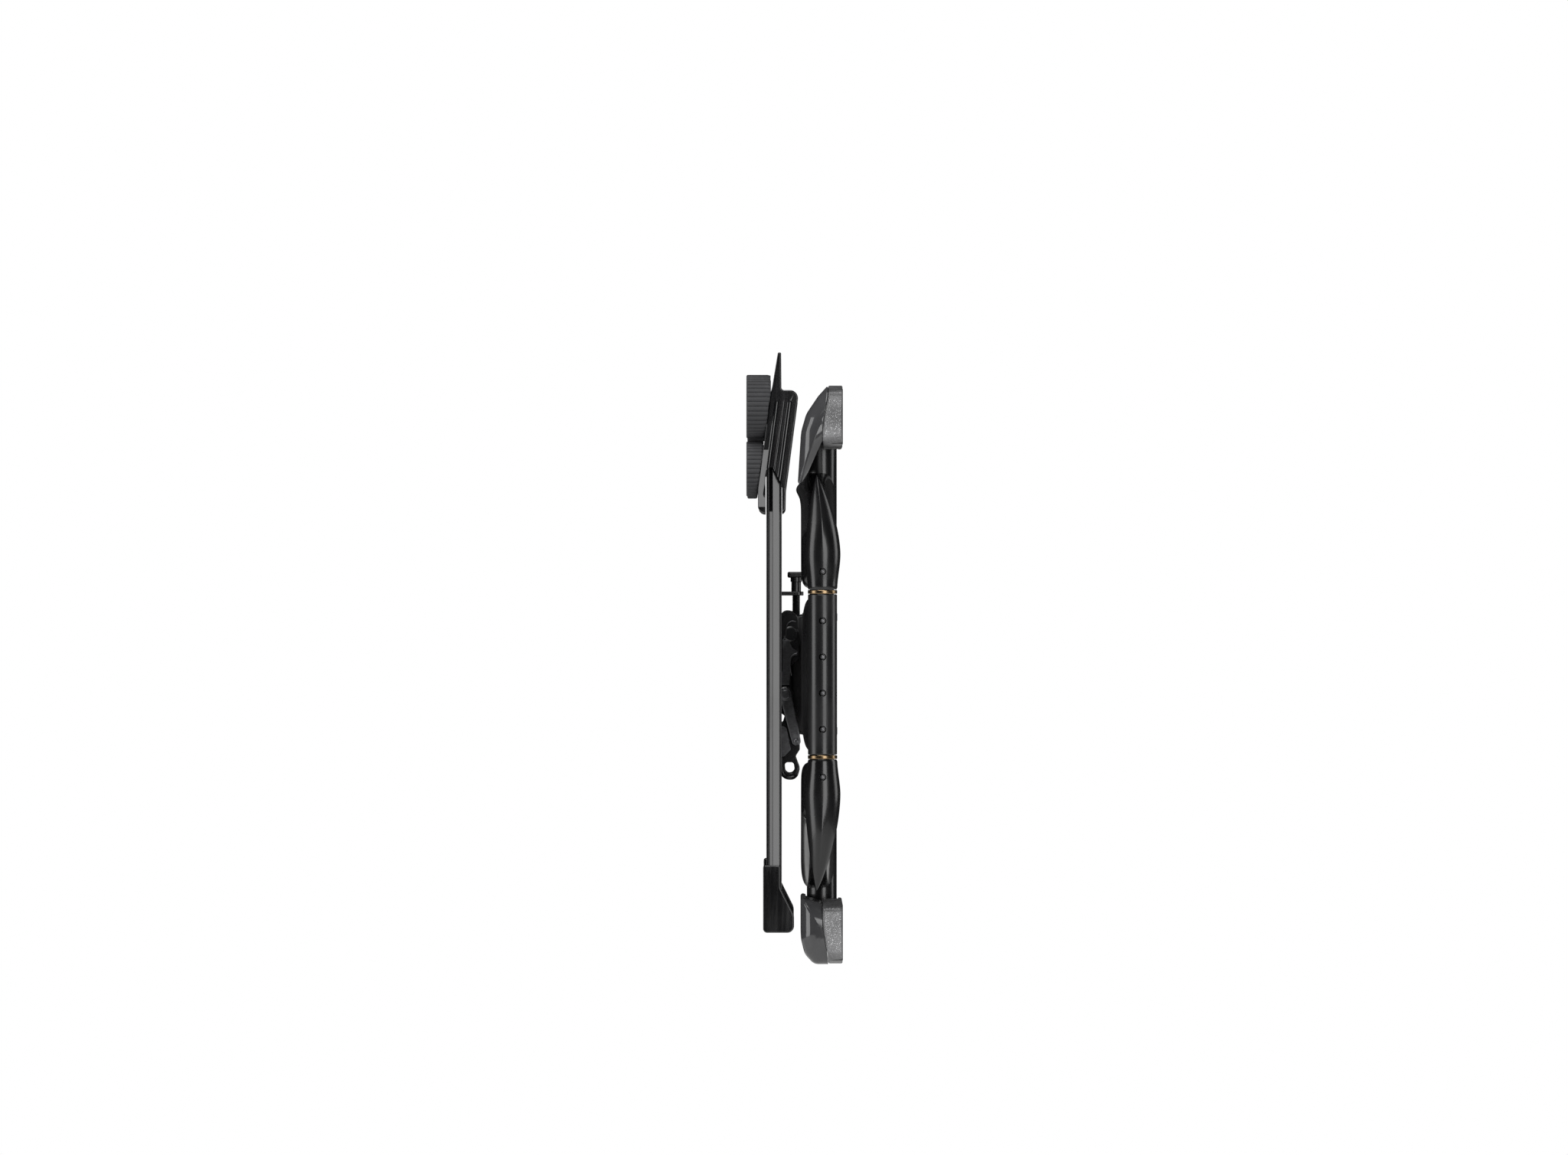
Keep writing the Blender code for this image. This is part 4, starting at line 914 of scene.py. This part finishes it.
def make_cheeks():
    loop = rounded([(0.0365, -0.0655, 0.002), (0.0352, -0.0735, 0.0034), (0.0425, -0.0740, 0.0034),
                    (0.0430, -0.0655, 0.002)], 8)
    blade = rounded([(0.0449, 0.0250, 0.0005), (0.0449, 0.0015, 0.0008), (0.0484, 0.0015, 0.0006),
                     (0.0484, -0.0080, 0.001), (0.0396, -0.0080, 0.001), (0.0388, 0.0030, 0.006),
                     (0.0386, 0.0100, 0.004), (0.0362, 0.0140, 0.004), (0.0328, 0.0146, 0.0004),
                     (0.0332, 0.0170, 0.0004), (0.0370, 0.0195, 0.004), (0.0405, 0.0260, 0.002)], 8)
    tail = rounded([(0.0484, -0.0390, 0.001), (0.0484, -0.0600, 0.004), (0.0440, -0.0620, 0.003),
                    (0.0385, -0.0560, 0.002), (0.0420, -0.0390, 0.002)], 8)
    lip = [(0.0345, 0.0392), (0.0380, 0.0395), (0.0412, 0.0370), (0.0420, 0.0320), (0.0426, 0.0275),
           (0.0448, 0.0252)]
    pear = [(0.0333, 0.0158), (0.0358, 0.0150), (0.0382, 0.0128), (0.0389, 0.0080), (0.0386, 0.0030),
            (0.0380, -0.0010)]
    for side, hand in HANDS:
        node = f"tilt_cheek_{hand}"
        low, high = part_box(node)
        inner, outer = (low.x, high.x) if side > 0 else (high.x, low.x)
        step = side * 0.0020
        cheek = extruded(f"cheek_{hand}", "X", [cheek_outline(), loop], (inner, inner + step),
                         0.0005, 4)
        boss = turned("boss", "X", [(0, -0.001), (0.0060, -0.001), (0.0060, 0.0004),
                                    (0.0046, 0.0010), (0, 0.0010)],
                      (inner + step, -0.0386, 0.0300), 0.0006, 5, 72, side)
        cap = turned("cap", "X", [(0, -0.001), (0.0058, -0.001), (0.0058, 0.0006),
                                  (0.0050, 0.0010), (0, 0.0010)],
                     (inner + step, PIVOT.y, PIVOT.z), 0.0005, 5, 72, side)
        hem = solid("hem", swept(np.array([(inner + step, -d, z) for d, z in smooth_path([
            (0.0455, -0.0610), (0.0452, -0.0700), (0.0432, -0.0752), (0.0392, -0.0768),
            (0.0350, -0.0752), (0.0332, -0.0700)])]), 0.0010))
        combine(cheek, "UNION", boss, cap, hem)
        through = (inner - side * 0.002, outer + side * 0.002)
        combine(cheek, "DIFFERENCE", bored("X", -PIVOT.y, PIVOT.z, PIVOT_BORE, through, 0.0002, 1),
                bored("X", *RIVET, 0.0021, through, 0.0002, 1))
        finish_piece(cheek, node, slot="cast_gloss_black", sharp=35)

        face, skin = inner + step + side * 0.0001, inner + step + side * 0.0009
        plate = solid(f"tilt_blade_{hand}", *(prism("X", [form], *sorted((face, skin)), 0.0003, 4)
                                              for form in (blade, tail)))
        combine(plate, "DIFFERENCE",
                bored("X", -PIVOT.y, PIVOT.z, 0.0062, (inner, through[1]), 0.0002, 1))
        finish_piece(plate, node, stands_for=False, slot="dark_steel", sharp=35)
        wires = solid(f"cheek_lips_{hand}", *(swept(np.array(
            [(skin - side * 0.0001, -d, z) for d, z in smooth_path(path)]), width)
            for path, width in ((lip, 0.00050), (pear, 0.00045))))
        finish_piece(wires, node, stands_for=False, slot="dark_steel", sharp=60)


def make_tilt_arms():
    top, foot = np.array([-PIVOT.y, PIVOT.z]), np.array(RIVET)
    along = (foot - top) / np.linalg.norm(foot - top)
    heading = math.atan2(along[1], along[0])
    half = np.linspace(-math.pi / 2, math.pi / 2, 2 * ARC + 1)
    far = foot + 0.0033 * np.stack([np.cos(heading + half), np.sin(heading + half)], 1)
    near = top + 0.0046 * np.stack([np.cos(heading + math.pi + half),
                                    np.sin(heading + math.pi + half)], 1)
    outline = np.concatenate([far, near])
    for side, hand in HANDS:
        node = f"tilt_arm_{hand}"
        low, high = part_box(node)
        inner, outer = (high.x - 0.0025, high.x) if side > 0 else (low.x + 0.0025, low.x)
        bar = extruded(f"brake_arm_{hand}", "X", [outline], (inner, outer), 0.0009, 5)
        rivet = turned("rivet", "X", [(0, -0.006), (0.0018, -0.006), (0.0018, 0.0004),
                                      (0.0012, 0.0008), (0, 0.0009)],
                       (outer, -foot[0], foot[1]), 0.0002, 3, 32, side)
        combine(bar, "UNION", rivet)
        combine(bar, "DIFFERENCE", bored("X", -PIVOT.y, PIVOT.z, PIVOT_BORE,
                                         (inner - side * 0.002, outer + side * 0.002), 0.0002, 1))
        finish_piece(bar, node, sharp=35)


def plate_outline(node, radius):
    low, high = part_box(node)
    return rounded([(low.x, low.z, radius), (high.x, low.z, radius), (high.x, high.z, radius),
                    (low.x, high.z, radius)])


def make_carrier():
    low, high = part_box("carrier_plate")
    slots = [long_hole(x, z, 0.018, 0.006) for x in (-0.032, 0.032) for z in (-0.052, 0.052)]
    plate = extruded("carrier", "Y", [plate_outline("carrier_plate", 0.006), circle(0, 0, 0.0043),
                                      *slots], (-high.y, -low.y), 0.0005)
    finish_piece(plate, "carrier_plate")
    low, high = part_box("level_bridge")
    outline = rounded([(low.x, -high.y, 0.004), (high.x, -high.y, 0.004), (high.x, -low.y, 0),
                       (low.x, -low.y, 0)])
    bridge = extruded("bridge", "Z", [outline, circle(LEVEL.x, -LEVEL.y, 0.0034)],
                      (low.z - 0.0004, high.z + 0.0004), 0.0005)
    finish_piece(bridge, "level_bridge")


def make_leveller():
    low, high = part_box("level_screw")
    pitch, foot = 0.0010, low.z - 0.0080
    turns = np.arange(foot + 0.0010, 0.0585, pitch / 2)
    thread = [(0.0030 - 0.0004 * (i % 2), z) for i, z in enumerate(turns)]
    profile = [(0, foot), (0.0022, foot), *thread, (0.0030, 0.0612), (0.0036, 0.0614),
               (0.0036, 0.0685), (0.0042, 0.0690), (0.0042, 0.0720), (0, 0.0720)]
    stem = turned("level_knob", "Z", profile, (LEVEL.x, LEVEL.y, 0), sides=48)
    grip = extruded("grip", "Z", [block(LEVEL.x, -LEVEL.y, 0.0030, 0.0065, 0.0022)],
                    (high.z - 0.0045, high.z), 0.0012, 5)
    combine(stem, "UNION", grip)
    finish_piece(stem, "level_screw", sharp=35)


# ---------------------------------------------------------------- television frame

def screw_bores(hand, places, ends=(0.030, 0.080)):
    """The bores for the television screws of one side."""
    x = middle(f"upright_rail_{hand}").x
    return [bored("Y", x, middle(f"{place}_screw_{hand}").z, SCREW_BORE, ends, 0.0003, 1)
            for place in places]


def make_rails():
    low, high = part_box("roll_plate")
    holes = [circle(x, z, 0.0035) for x in (-0.045, 0.045) for z in (-0.0935, 0.0935)]
    windows = [long_hole(0, z, 0.060, 0.016) for z in (-0.058, 0.058)]
    finish_piece(extruded("roll_web", "Y", [plate_outline("roll_plate", 0.010),
                                            circle(0, 0, 0.0043), *holes, *windows],
                          (-high.y, -low.y)), "roll_plate")
    low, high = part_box("roll_bolt")
    tip = -low.y
    bolt = turned("roll_axle", "Y", [(0, tip), (0.0100, tip), (0.0108, tip - 0.0008),
                                     (0.0108, 0.0542), (0.0040, 0.0542), (0.0040, -high.y),
                                     (0, -high.y)], (0, 0, 0), 0.0003, 3, 72)
    combine(bolt, "DIFFERENCE",
            bored("Y", 0, 0, 0.0040, (tip - 0.0016, tip + 0.002), 0.0002, 1, 6))
    finish_piece(bolt, "roll_bolt")
    for _, end in ENDS:
        node = f"crossbar_{end}"
        low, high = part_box(node)
        centre = (low + high) / 2
        outline = block(-centre.y, centre.z, high.y - centre.y, high.z - centre.z, 0.0010)
        finish_piece(extruded(f"cross_{end}", "X", [outline], (low.x, high.x)), node)
    for _, hand in HANDS:
        node = f"upright_rail_{hand}"
        low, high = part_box(node)
        x, half, wall = (low.x + high.x) / 2, (high.x - low.x) / 2, 0.0040
        back, front = -high.y, -low.y
        flank = [(half - 0.0026, front, 0.0006), (half - 0.0026, front - 0.0015, 0.0002),
                 (half - 0.0034, front - 0.0017, 0.0003), (half - 0.0008, front - 0.0046, 0.0006),
                 (half - 0.0017, back + 0.0015, 0.0002), (half, back + 0.0013, 0.0005),
                 (half, back, 0.0005), (half - wall, back, 0.0008),
                 (half - wall, front - 0.0022, 0.0020)]
        outline = rounded([(x + u, d, r) for u, d, r in flank]
                          + [(x - u, d, r) for u, d, r in reversed(flank)])
        rail = extruded(f"rail_{hand}", "Z", [outline], (low.z, high.z))
        slots = [extruded("slot", "Y", [block(x, z, 0.0045, 0.013, 0.0044)], (0.050, 0.070),
                          0.0003, 1) for z in (-0.105, -0.060, -0.015, 0.030)]
        combine(rail, "DIFFERENCE", *screw_bores(hand, ("upper", "lower"), (0.045, 0.070)), *slots)
        finish_piece(rail, node, sharp=35)


def horn_face(z, depth):
    """How far out a leaning face of the upper bracket lies at a height, from its depth at the top."""
    return depth + (HORN_TOP - z) * HORN_LEAN


def make_horns(sizes):
    top, foot, shoulder = HORN_TOP, HORN_FOOT, HORN_SHOULDER
    for _, hand in HANDS:
        node = f"horn_bracket_{hand}"
        low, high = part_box(node)
        front, back = HORN_FRONT, -high.y
        outline = rounded([
            (front, top, 0.0015), (0.0522, top + 0.0040, 0.004), (0.0481, high.z, 0.0010),
            (0.0457, high.z, 0.0010), (0.0455, top + 0.0010, 0.002), (back, top + 0.0010, 0.006),
            (horn_face(shoulder, back), shoulder, 0.020),
            (horn_face(shoulder, back) + 0.0004, foot, 0.004),
            (horn_face(shoulder, front), foot, 0.005),
            (horn_face(shoulder, front), shoulder, 0.006)], 10)
        horn = extruded(f"horn_{hand}", "X", [outline], (low.x, high.x), sizes.bend, 6)
        roof = top - 0.0010
        straight = horn_face(shoulder, front) - SHEET
        pocket = [(horn_face(roof, front) - SHEET, roof), (back - 0.010, roof),
                  (back - 0.010, foot - 0.010), (straight, foot - 0.010), (straight, shoulder)]
        inside = extruded("pocket", "X", [pocket], (low.x + SHEET, high.x - SHEET), 0.0005)
        ridges = []
        flange = np.linspace(foot + 0.0045, 0.1660, 12)
        rim = horn_face(np.maximum(flange, shoulder), front) - 0.0004
        for face, out in ((low.x, -1), (high.x, 1)):
            wedge = [np.stack([np.full(12, face + out * reach), -(rim - behind), flange], 1)
                     for reach, behind in ((-0.001, 0.005), (0, 0.005), (0.001, 0), (-0.001, 0))]
            ridges.append(solid("flange", loft(np.stack(wedge, 1))))
        for share, reach in ((0.26, 0.0020), (0.50, 0.0012), (0.72, 0.0024)):
            depth = front + (back - front) * share
            heights = np.linspace(top - 0.0060, shoulder - 0.0060, 40)
            for face, out in ((low.x, -1), (high.x, 1)):
                path = [(face - out * (reach - 0.0010), -horn_face(z, depth), z) for z in heights]
                ridges.append(solid("ridge", swept(path, reach, 16)))
        opening = rounded([(0.0575, 0.1100, 0), (0.0450, 0.1100, 0), (0.0450, 0.1400, 0.006),
                           (0.0545, 0.1580, 0.003), (0.0575, 0.1480, 0.001)])
        window = extruded("window", "X", [opening], (low.x - 0.002, high.x + 0.002), 0.0003, 1)
        combine(horn, "UNION", *ridges)
        combine(horn, "DIFFERENCE", inside, window, *screw_bores(hand, ("top", "upper")))
        finish_piece(horn, node, sharp=35)


def make_feet(sizes):
    for _, hand in HANDS:
        node = f"foot_bracket_{hand}"
        low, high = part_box(node)
        front, back = -low.y, -high.y
        outline = rounded([
            (front, high.z, 0.002), (0.0464, high.z, 0.0012), (0.0464, -0.1565, 0.009),
            (back, -0.1770, 0.009), (back, low.z, 0.005), (front, low.z, 0.003)], 10)
        foot = extruded(f"foot_{hand}", "X", [outline], (low.x, high.x), sizes.bend, 6)
        pocket = [(front - SHEET, -0.130), (0.030, -0.130), (0.030, low.z + SHEET),
                  (front - SHEET, low.z + SHEET)]
        inside = extruded("pocket", "X", [pocket], (low.x + SHEET, high.x - SHEET), 0.0005)
        combine(foot, "DIFFERENCE", inside, *screw_bores(hand, ("lower",)))
        finish_piece(foot, node, sharp=35)


def ribbed_spacer(node, ribs, sizes):
    """A ribbed sleeve along Y. Round it the radius is r - rib * (1 - |sin(ribs * a / 2)|^0.6); its
    front is flat with two shallow rings, and its back follows the leaning bracket."""
    low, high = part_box(node)
    centre = (low + high) / 2
    radius = (high.x - low.x) / 2
    front = -low.y
    gap = 0.0003
    angle = whole_turn(12 * ribs)
    rib = sizes.rib * (1 - np.abs(np.sin(ribs * angle / 2)) ** 0.6)
    edge = 0.0012
    curve = np.linspace(0, math.pi / 2, 6)
    face = [(0.0045, 0.0010), (0.0050, 0.0), (0.0100, 0.0), (0.0104, 0.0005), (0.0118, 0.0005),
            (0.0122, 0.0), (radius * 0.78, 0.0), (radius * 0.78 + 0.0004, 0.0004),
            (radius * 0.78 + 0.0014, 0.0004), (radius * 0.78 + 0.0018, 0.0)]
    rows = [(r, drop, 0.0, 0.0) for r, drop in face]
    rows += [(radius - edge + edge * math.sin(c), edge * (1 - math.cos(c)), math.sin(c), 0.0)
             for c in curve]
    rows += [(radius, 0.0, 1.0, 1.0 - edge / 0.010), (radius - edge / 2, 0.0, 1.0, 1.0),
             (0.0045, 0.0, 0.0, 1.0)]
    shapes = []
    for r, drop, ribbed, back_share in rows:
        reach = r - ribbed * rib
        x, z = centre.x + reach * np.cos(angle), centre.z + reach * np.sin(angle)
        back = np.maximum(horn_face(z, HORN_FRONT), HORN_FRONT) + gap
        depth = (front - drop) + (back - (front - drop)) * back_share
        shapes.append(np.stack([x, -depth, z], -1))
    faces = grid_faces(len(shapes), len(angle), close_rows=True).tolist()
    return np.stack(shapes).reshape(-1, 3), faces


def make_spacers(sizes):
    for _, hand in HANDS:
        for place, ribs in (("top", sizes.top_ribs), ("upper", sizes.upper_ribs)):
            node = f"{place}_spacer_{hand}"
            finish_piece(solid(f"{place}_sleeve_{hand}", ribbed_spacer(node, ribs, sizes)), node,
                         sharp=50)


def make_television_screws():
    for _, hand in HANDS:
        for place in ("top", "upper", "lower"):
            node = f"{place}_screw_{hand}"
            low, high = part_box(node)
            tip, back = -low.y, -high.y
            front = back + 0.0046
            pitch = 0.00125
            turns = np.arange(front + 0.0030, tip - 0.0010, pitch / 2)
            thread = [(0.0040 - 0.0005 * (i % 2), d) for i, d in enumerate(turns)]
            head = soft_corners([(0, back), (0.0058, back), (0.0070, back + 0.0016),
                                 (0.0070, front), (0.0040, front), (0.0040, front + 0.0020)],
                                0.0005, 4)
            profile = np.concatenate([head, thread, [(0.0032, tip), (0, tip)]])
            x, z = middle(node).x, middle(node).z
            screw = turned(f"{place}_bolt_{hand}", "Y", profile, (x, 0, z), sides=40)
            combine(screw, "DIFFERENCE",
                    bored("Y", x, z, 0.0029, (back - 0.002, back + 0.0026), 0.0002, 1, 6))
            finish_piece(screw, node, sharp=35)


# ---------------------------------------------------------------- stage

def softbox(name, place, aim, size, power):
    light = bpy.data.lights.new(name, "AREA")
    light.shape = "RECTANGLE"
    light.size, light.size_y = size
    light.energy = power
    lamp = bpy.data.objects.new(name, light)
    lamp.location = place
    lamp.rotation_euler = (Vector(aim) - Vector(place)).to_track_quat("-Z", "Y").to_euler()
    bpy.context.scene.collection.objects.link(lamp)


def make_stage(stage):
    """A pale floor under the mount, a white room, soft boxes and a far camera on the elbow's side."""
    half = 1.6
    floor = extruded("floor", "Z", [block(0, 0, half, half, 0.05)],
                     (stage.floor - 0.02, stage.floor), 0.004)
    finish = Finish("pale_floor")
    mottle = finish.noise(3.0, 3.0, 0.5)
    finish.set(Base_Color=finish.mixed(mottle, (0.80, 0.80, 0.79), (0.86, 0.86, 0.85)))
    finish.set(Roughness=0.55 + mottle * 0.15)
    floor.data.materials.append(finish.material)

    room = bpy.data.worlds.new("white_room")
    room.use_nodes = True
    tree = room.node_tree
    tree.nodes["Background"].inputs["Color"].default_value = (1.0, 1.0, 1.0, 1.0)
    tree.nodes["Background"].inputs["Strength"].default_value = stage.room_light
    path = tree.nodes.new("ShaderNodeLightPath")
    light = tree.nodes["Background"].outputs[0]
    for ray, strength in (("Is Glossy Ray", stage.room_shine), ("Is Camera Ray", stage.room_white)):
        shade = tree.nodes.new("ShaderNodeBackground")
        shade.inputs["Color"].default_value = (1.0, 1.0, 1.0, 1.0)
        shade.inputs["Strength"].default_value = strength
        mix = tree.nodes.new("ShaderNodeMixShader")
        tree.links.new(path.outputs[ray], mix.inputs[0])
        tree.links.new(light, mix.inputs[1])
        tree.links.new(shade.outputs[0], mix.inputs[2])
        light = mix.outputs[0]
    tree.links.new(light, tree.nodes["World Output"].inputs["Surface"])
    bpy.context.scene.world = room
    bpy.context.scene.view_settings.view_transform = "Standard"

    aim = (0.0, -0.03, 0.02)
    softbox("camera_box", (2.6, 0.74, 0.25), aim, (1.15, 1.9), stage.camera_box)
    softbox("front_box", (0.9, -2.50, 0.25), aim, (1.3, 1.9), stage.front_box)
    softbox("wall_side_box", (-0.2, 2.3, 0.6), aim, (1.0, 1.8), stage.wall_box)
    softbox("top_box", (1.3, -0.3, 2.2), aim, (1.6, 1.8), stage.top_box)

    eye = bpy.data.cameras.new("camera")
    eye.sensor_width = 36.0
    eye.lens = 36.0 * stage.distance / stage.view_width
    eye.clip_end = 100.0
    camera = bpy.data.objects.new("camera", eye)
    camera.location = (0.15 + stage.distance, -0.0436, 0.0720)
    camera.rotation_euler = (math.pi / 2, 0, math.pi / 2)
    bpy.context.scene.collection.objects.link(camera)
    bpy.context.scene.camera = camera


# ---------------------------------------------------------------- what a user may change

def length(name, description, default, low=0.0, high=1.0):
    return FloatProperty(name=name, description=description, default=default, min=low, max=high,
                         precision=5, subtype="DISTANCE", unit="LENGTH")


def number(name, description, default, low=0.0, high=10.0):
    return FloatProperty(name=name, description=description, default=default, min=low, max=high)


def power(name, description, default):
    return FloatProperty(name=name, description=description, default=default, min=0.0, unit="POWER")


def count(name, description, default):
    return IntProperty(name=name, description=description, default=default, min=12, max=80)


def colour(name, description, default):
    return FloatVectorProperty(name=name, description=description, default=default, min=0.0,
                               max=1.0, size=3, subtype="COLOR")


class CoverSizes(bpy.types.PropertyGroup):
    crown: length("Crown", "How far the ends of a cover swell", 0.0140, 0.0, 0.02)
    wall: length("Wall", "Thickness of the moulded shell", 0.0016, 0.001, 0.0017)
    lip: length("Lip radius", "Radius of the edge over the arm", 0.0020, 0.0018, 0.004)
    lip_drop: length("Lip drop", "How much lower the upper lip hangs by the elbow", 0.0135, 0.0, 0.015)
    collar_taper: length("Collar taper", "How much narrower a collar's ends are at the wall", 0.0018,
                         0.0, 0.004)
    collar_squareness: number("Collar squareness", "Power of the collar's outline: 2 is an oval",
                              9.0, 2.0, 30.0)


class ArmSizes(bpy.types.PropertyGroup):
    half_depth: length("Half depth", "Half of the limb's thickness at the elbow", 0.0141)
    squareness: number("Squareness", "Power of the limb's section", 3.8, 2.0, 8.0)
    nose: length("Nose", "How far the limb's rounded end passes the elbow's axis", -0.0030,
                 -0.008, 0.008)
    belly: length("Belly", "How far the limb swells out below the cover", 0.0040)
    forearm_belly: length("Forearm belly", "How far the forearm swells out of its middle", 0.0060)
    widest: length("Knuckle radius", "Radius of the knuckle where it is widest", 0.0132)
    tip: length("Tip height", "Height of the knuckle's drawn-out tip", 0.1470)
    lean: length("Lean", "How far the tip leans out from the elbow's axis", 0.0042)
    barrel_radius: length("Barrel radius", "Radius of the forearm's barrel",
                          (highest("elbow_ring_top").x - lowest("elbow_ring_top").x) / 2 - 0.0001)


class BracketSizes(bpy.types.PropertyGroup):
    bend: length("Bend radius", "Radius of the brackets' pressed edges", 0.0009, 0.0003, 0.00095)
    rib: length("Rib depth", "Depth of a spacer's ribs", 0.0008, 0.0, 0.002)
    top_ribs: count("Top ribs", "Ribs round a top spacer", 40)
    upper_ribs: count("Upper ribs", "Ribs round an upper spacer", 36)


class FinishColours(bpy.types.PropertyGroup):
    enamel: colour("Gloss black", "Powder coat of the arm, rails and brackets", (0.0025, 0.0025, 0.0028))
    satin_black: colour("Satin black", "Coat of the castings and hidden steel", (0.0060, 0.0060, 0.0064))
    cover: colour("Cover", "Polished plastic of the covers", (0.040, 0.040, 0.042))
    collar: colour("Collar", "Sparkle plastic behind the covers", (0.050, 0.050, 0.051))
    dark_steel: colour("Dark steel", "Pins, screws and levers", (0.10, 0.10, 0.104))
    bronze: colour("Bronze", "Thrust rings of the elbow", (0.20, 0.14, 0.08))
    nylon: colour("Nylon", "Bushes and washers", (0.75, 0.74, 0.70))
    charcoal: colour("Charcoal", "Ribbed spacers", (0.020, 0.020, 0.022))


class StageSettings(bpy.types.PropertyGroup):
    floor: length("Floor height", "Height of the pale floor", -0.50, -5.0, 0.0)
    distance: length("Camera distance", "From the camera to the mount", 16.0, 1.0, 90.0)
    view_width: length("View width", "Width of the view at the mount", 1.159, 0.1, 10.0)
    room_light: number("Room light", "How much the white room lights", 0.40)
    room_shine: number("Room shine", "How bright the room is in reflections", 0.03)
    room_white: number("Room white", "How white the room looks", 1.0)
    camera_box: power("Camera box", "Power of the soft box by the camera", 26.0)
    front_box: power("Front box", "Power of the soft box in front", 22.0)
    wall_box: power("Wall side box", "Power of the light behind the wall", 12.0)
    top_box: power("Top box", "Power of the light overhead", 46.0)


# ---------------------------------------------------------------- operators and panel

class TVMOUNT_OT_finishes(bpy.types.Operator):
    """Mix the finishes that the pieces are painted with"""
    bl_idname = "tvmount.finishes"
    bl_label = "Finishes"

    def execute(self, context):
        mix_finishes(context.scene.tvmount_colours)
        return {"FINISHED"}


class TVMOUNT_OT_covers(bpy.types.Operator):
    """Mould the two covers and their rear collars"""
    bl_idname = "tvmount.covers"
    bl_label = "Covers"

    def execute(self, context):
        make_covers(context.scene.tvmount_covers)
        return {"FINISHED"}


class TVMOUNT_OT_arm(bpy.types.Operator):
    """Cast the arm's two limbs with their knuckles, bronze rings and set screws"""
    bl_idname = "tvmount.arm"
    bl_label = "Arm"

    def execute(self, context):
        make_limbs(context.scene.tvmount_arm)
        make_rings()
        for _, end in ENDS:
            make_set_screw(f"knuckle_screw_{end}", f"knuckle_socket_{end}")
        return {"FINISHED"}


class TVMOUNT_OT_forearm(bpy.types.Operator):
    """Cast the forearm with the elbow barrel and its four set screws"""
    bl_idname = "tvmount.forearm"
    bl_label = "Forearm"

    def execute(self, context):
        make_forearm(context.scene.tvmount_arm)
        for number in range(1, 5):
            make_set_screw(f"barrel_screw_{number}", f"barrel_socket_{number}")
        return {"FINISHED"}


class TVMOUNT_OT_head(bpy.types.Operator):
    """Cast the head with its pan pin and tilt pivot"""
    bl_idname = "tvmount.head"
    bl_label = "Head"

    def execute(self, context):
        make_yoke()
        make_pins()
        return {"FINISHED"}


class TVMOUNT_OT_carrier(bpy.types.Operator):
    """Cut the carrier: cheeks, steel blades, brake arms, plate, bridge and levelling screw"""
    bl_idname = "tvmount.carrier"
    bl_label = "Carrier"

    def execute(self, context):
        make_cheeks()
        make_tilt_arms()
        make_carrier()
        make_leveller()
        return {"FINISHED"}


class TVMOUNT_OT_tv_frame(bpy.types.Operator):
    """Press the television frame: middle plate, crossbars, upright rails and brackets"""
    bl_idname = "tvmount.tv_frame"
    bl_label = "Television frame"

    def execute(self, context):
        make_rails()
        make_horns(context.scene.tvmount_brackets)
        make_feet(context.scene.tvmount_brackets)
        return {"FINISHED"}


class TVMOUNT_OT_spacers(bpy.types.Operator):
    """Mould the ribbed spacers and turn the television screws"""
    bl_idname = "tvmount.spacers"
    bl_label = "Spacers and screws"

    def execute(self, context):
        make_spacers(context.scene.tvmount_brackets)
        make_television_screws()
        return {"FINISHED"}


class TVMOUNT_OT_packed(bpy.types.Operator):
    """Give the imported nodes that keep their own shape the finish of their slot"""
    bl_idname = "tvmount.packed"
    bl_label = "Packed nodes"

    def execute(self, context):
        for node in frame["nodes"]:
            if node not in REPLACED:
                dress(node)
        return {"FINISHED"}


class TVMOUNT_OT_stage(bpy.types.Operator):
    """Set the floor, the white room, the soft boxes and the camera"""
    bl_idname = "tvmount.stage"
    bl_label = "Stage"

    def execute(self, context):
        make_stage(context.scene.tvmount_stage)
        return {"FINISHED"}


OPERATORS = (TVMOUNT_OT_finishes, TVMOUNT_OT_covers, TVMOUNT_OT_arm, TVMOUNT_OT_forearm,
             TVMOUNT_OT_head, TVMOUNT_OT_carrier, TVMOUNT_OT_tv_frame, TVMOUNT_OT_spacers,
             TVMOUNT_OT_packed, TVMOUNT_OT_stage)
GROUPS = {"tvmount_covers": CoverSizes, "tvmount_arm": ArmSizes, "tvmount_brackets": BracketSizes,
          "tvmount_colours": FinishColours, "tvmount_stage": StageSettings}


class TVMOUNT_PT_panel(bpy.types.Panel):
    """The mount's sizes, colours and pieces"""
    bl_idname = "TVMOUNT_PT_panel"
    bl_label = "Folding Television Mount"
    bl_space_type = "VIEW_3D"
    bl_region_type = "UI"
    bl_category = "TV Mount"

    def draw(self, context):
        layout = self.layout
        for operator in OPERATORS:
            layout.operator(operator.bl_idname)
        for key, group in GROUPS.items():
            box = layout.box()
            box.label(text=group.__name__)
            for prop in group.__annotations__:
                box.prop(getattr(context.scene, key), prop)


def register():
    for group in GROUPS.values():
        bpy.utils.register_class(group)
    for key, group in GROUPS.items():
        setattr(bpy.types.Scene, key, PointerProperty(type=group))
    for cls in (*OPERATORS, TVMOUNT_PT_panel):
        bpy.utils.register_class(cls)


def unregister():
    for cls in (TVMOUNT_PT_panel, *reversed(OPERATORS)):
        bpy.utils.unregister_class(cls)
    for key, group in GROUPS.items():
        delattr(bpy.types.Scene, key)
        bpy.utils.unregister_class(group)


def main():
    register()
    bpy.ops.tvmount.finishes()
    bpy.ops.tvmount.covers()
    bpy.ops.tvmount.arm()
    bpy.ops.tvmount.forearm()
    bpy.ops.tvmount.head()
    bpy.ops.tvmount.carrier()
    bpy.ops.tvmount.tv_frame()
    bpy.ops.tvmount.spacers()
    bpy.ops.tvmount.packed()
    bpy.ops.tvmount.stage()


if __name__ == "__main__":
    main()
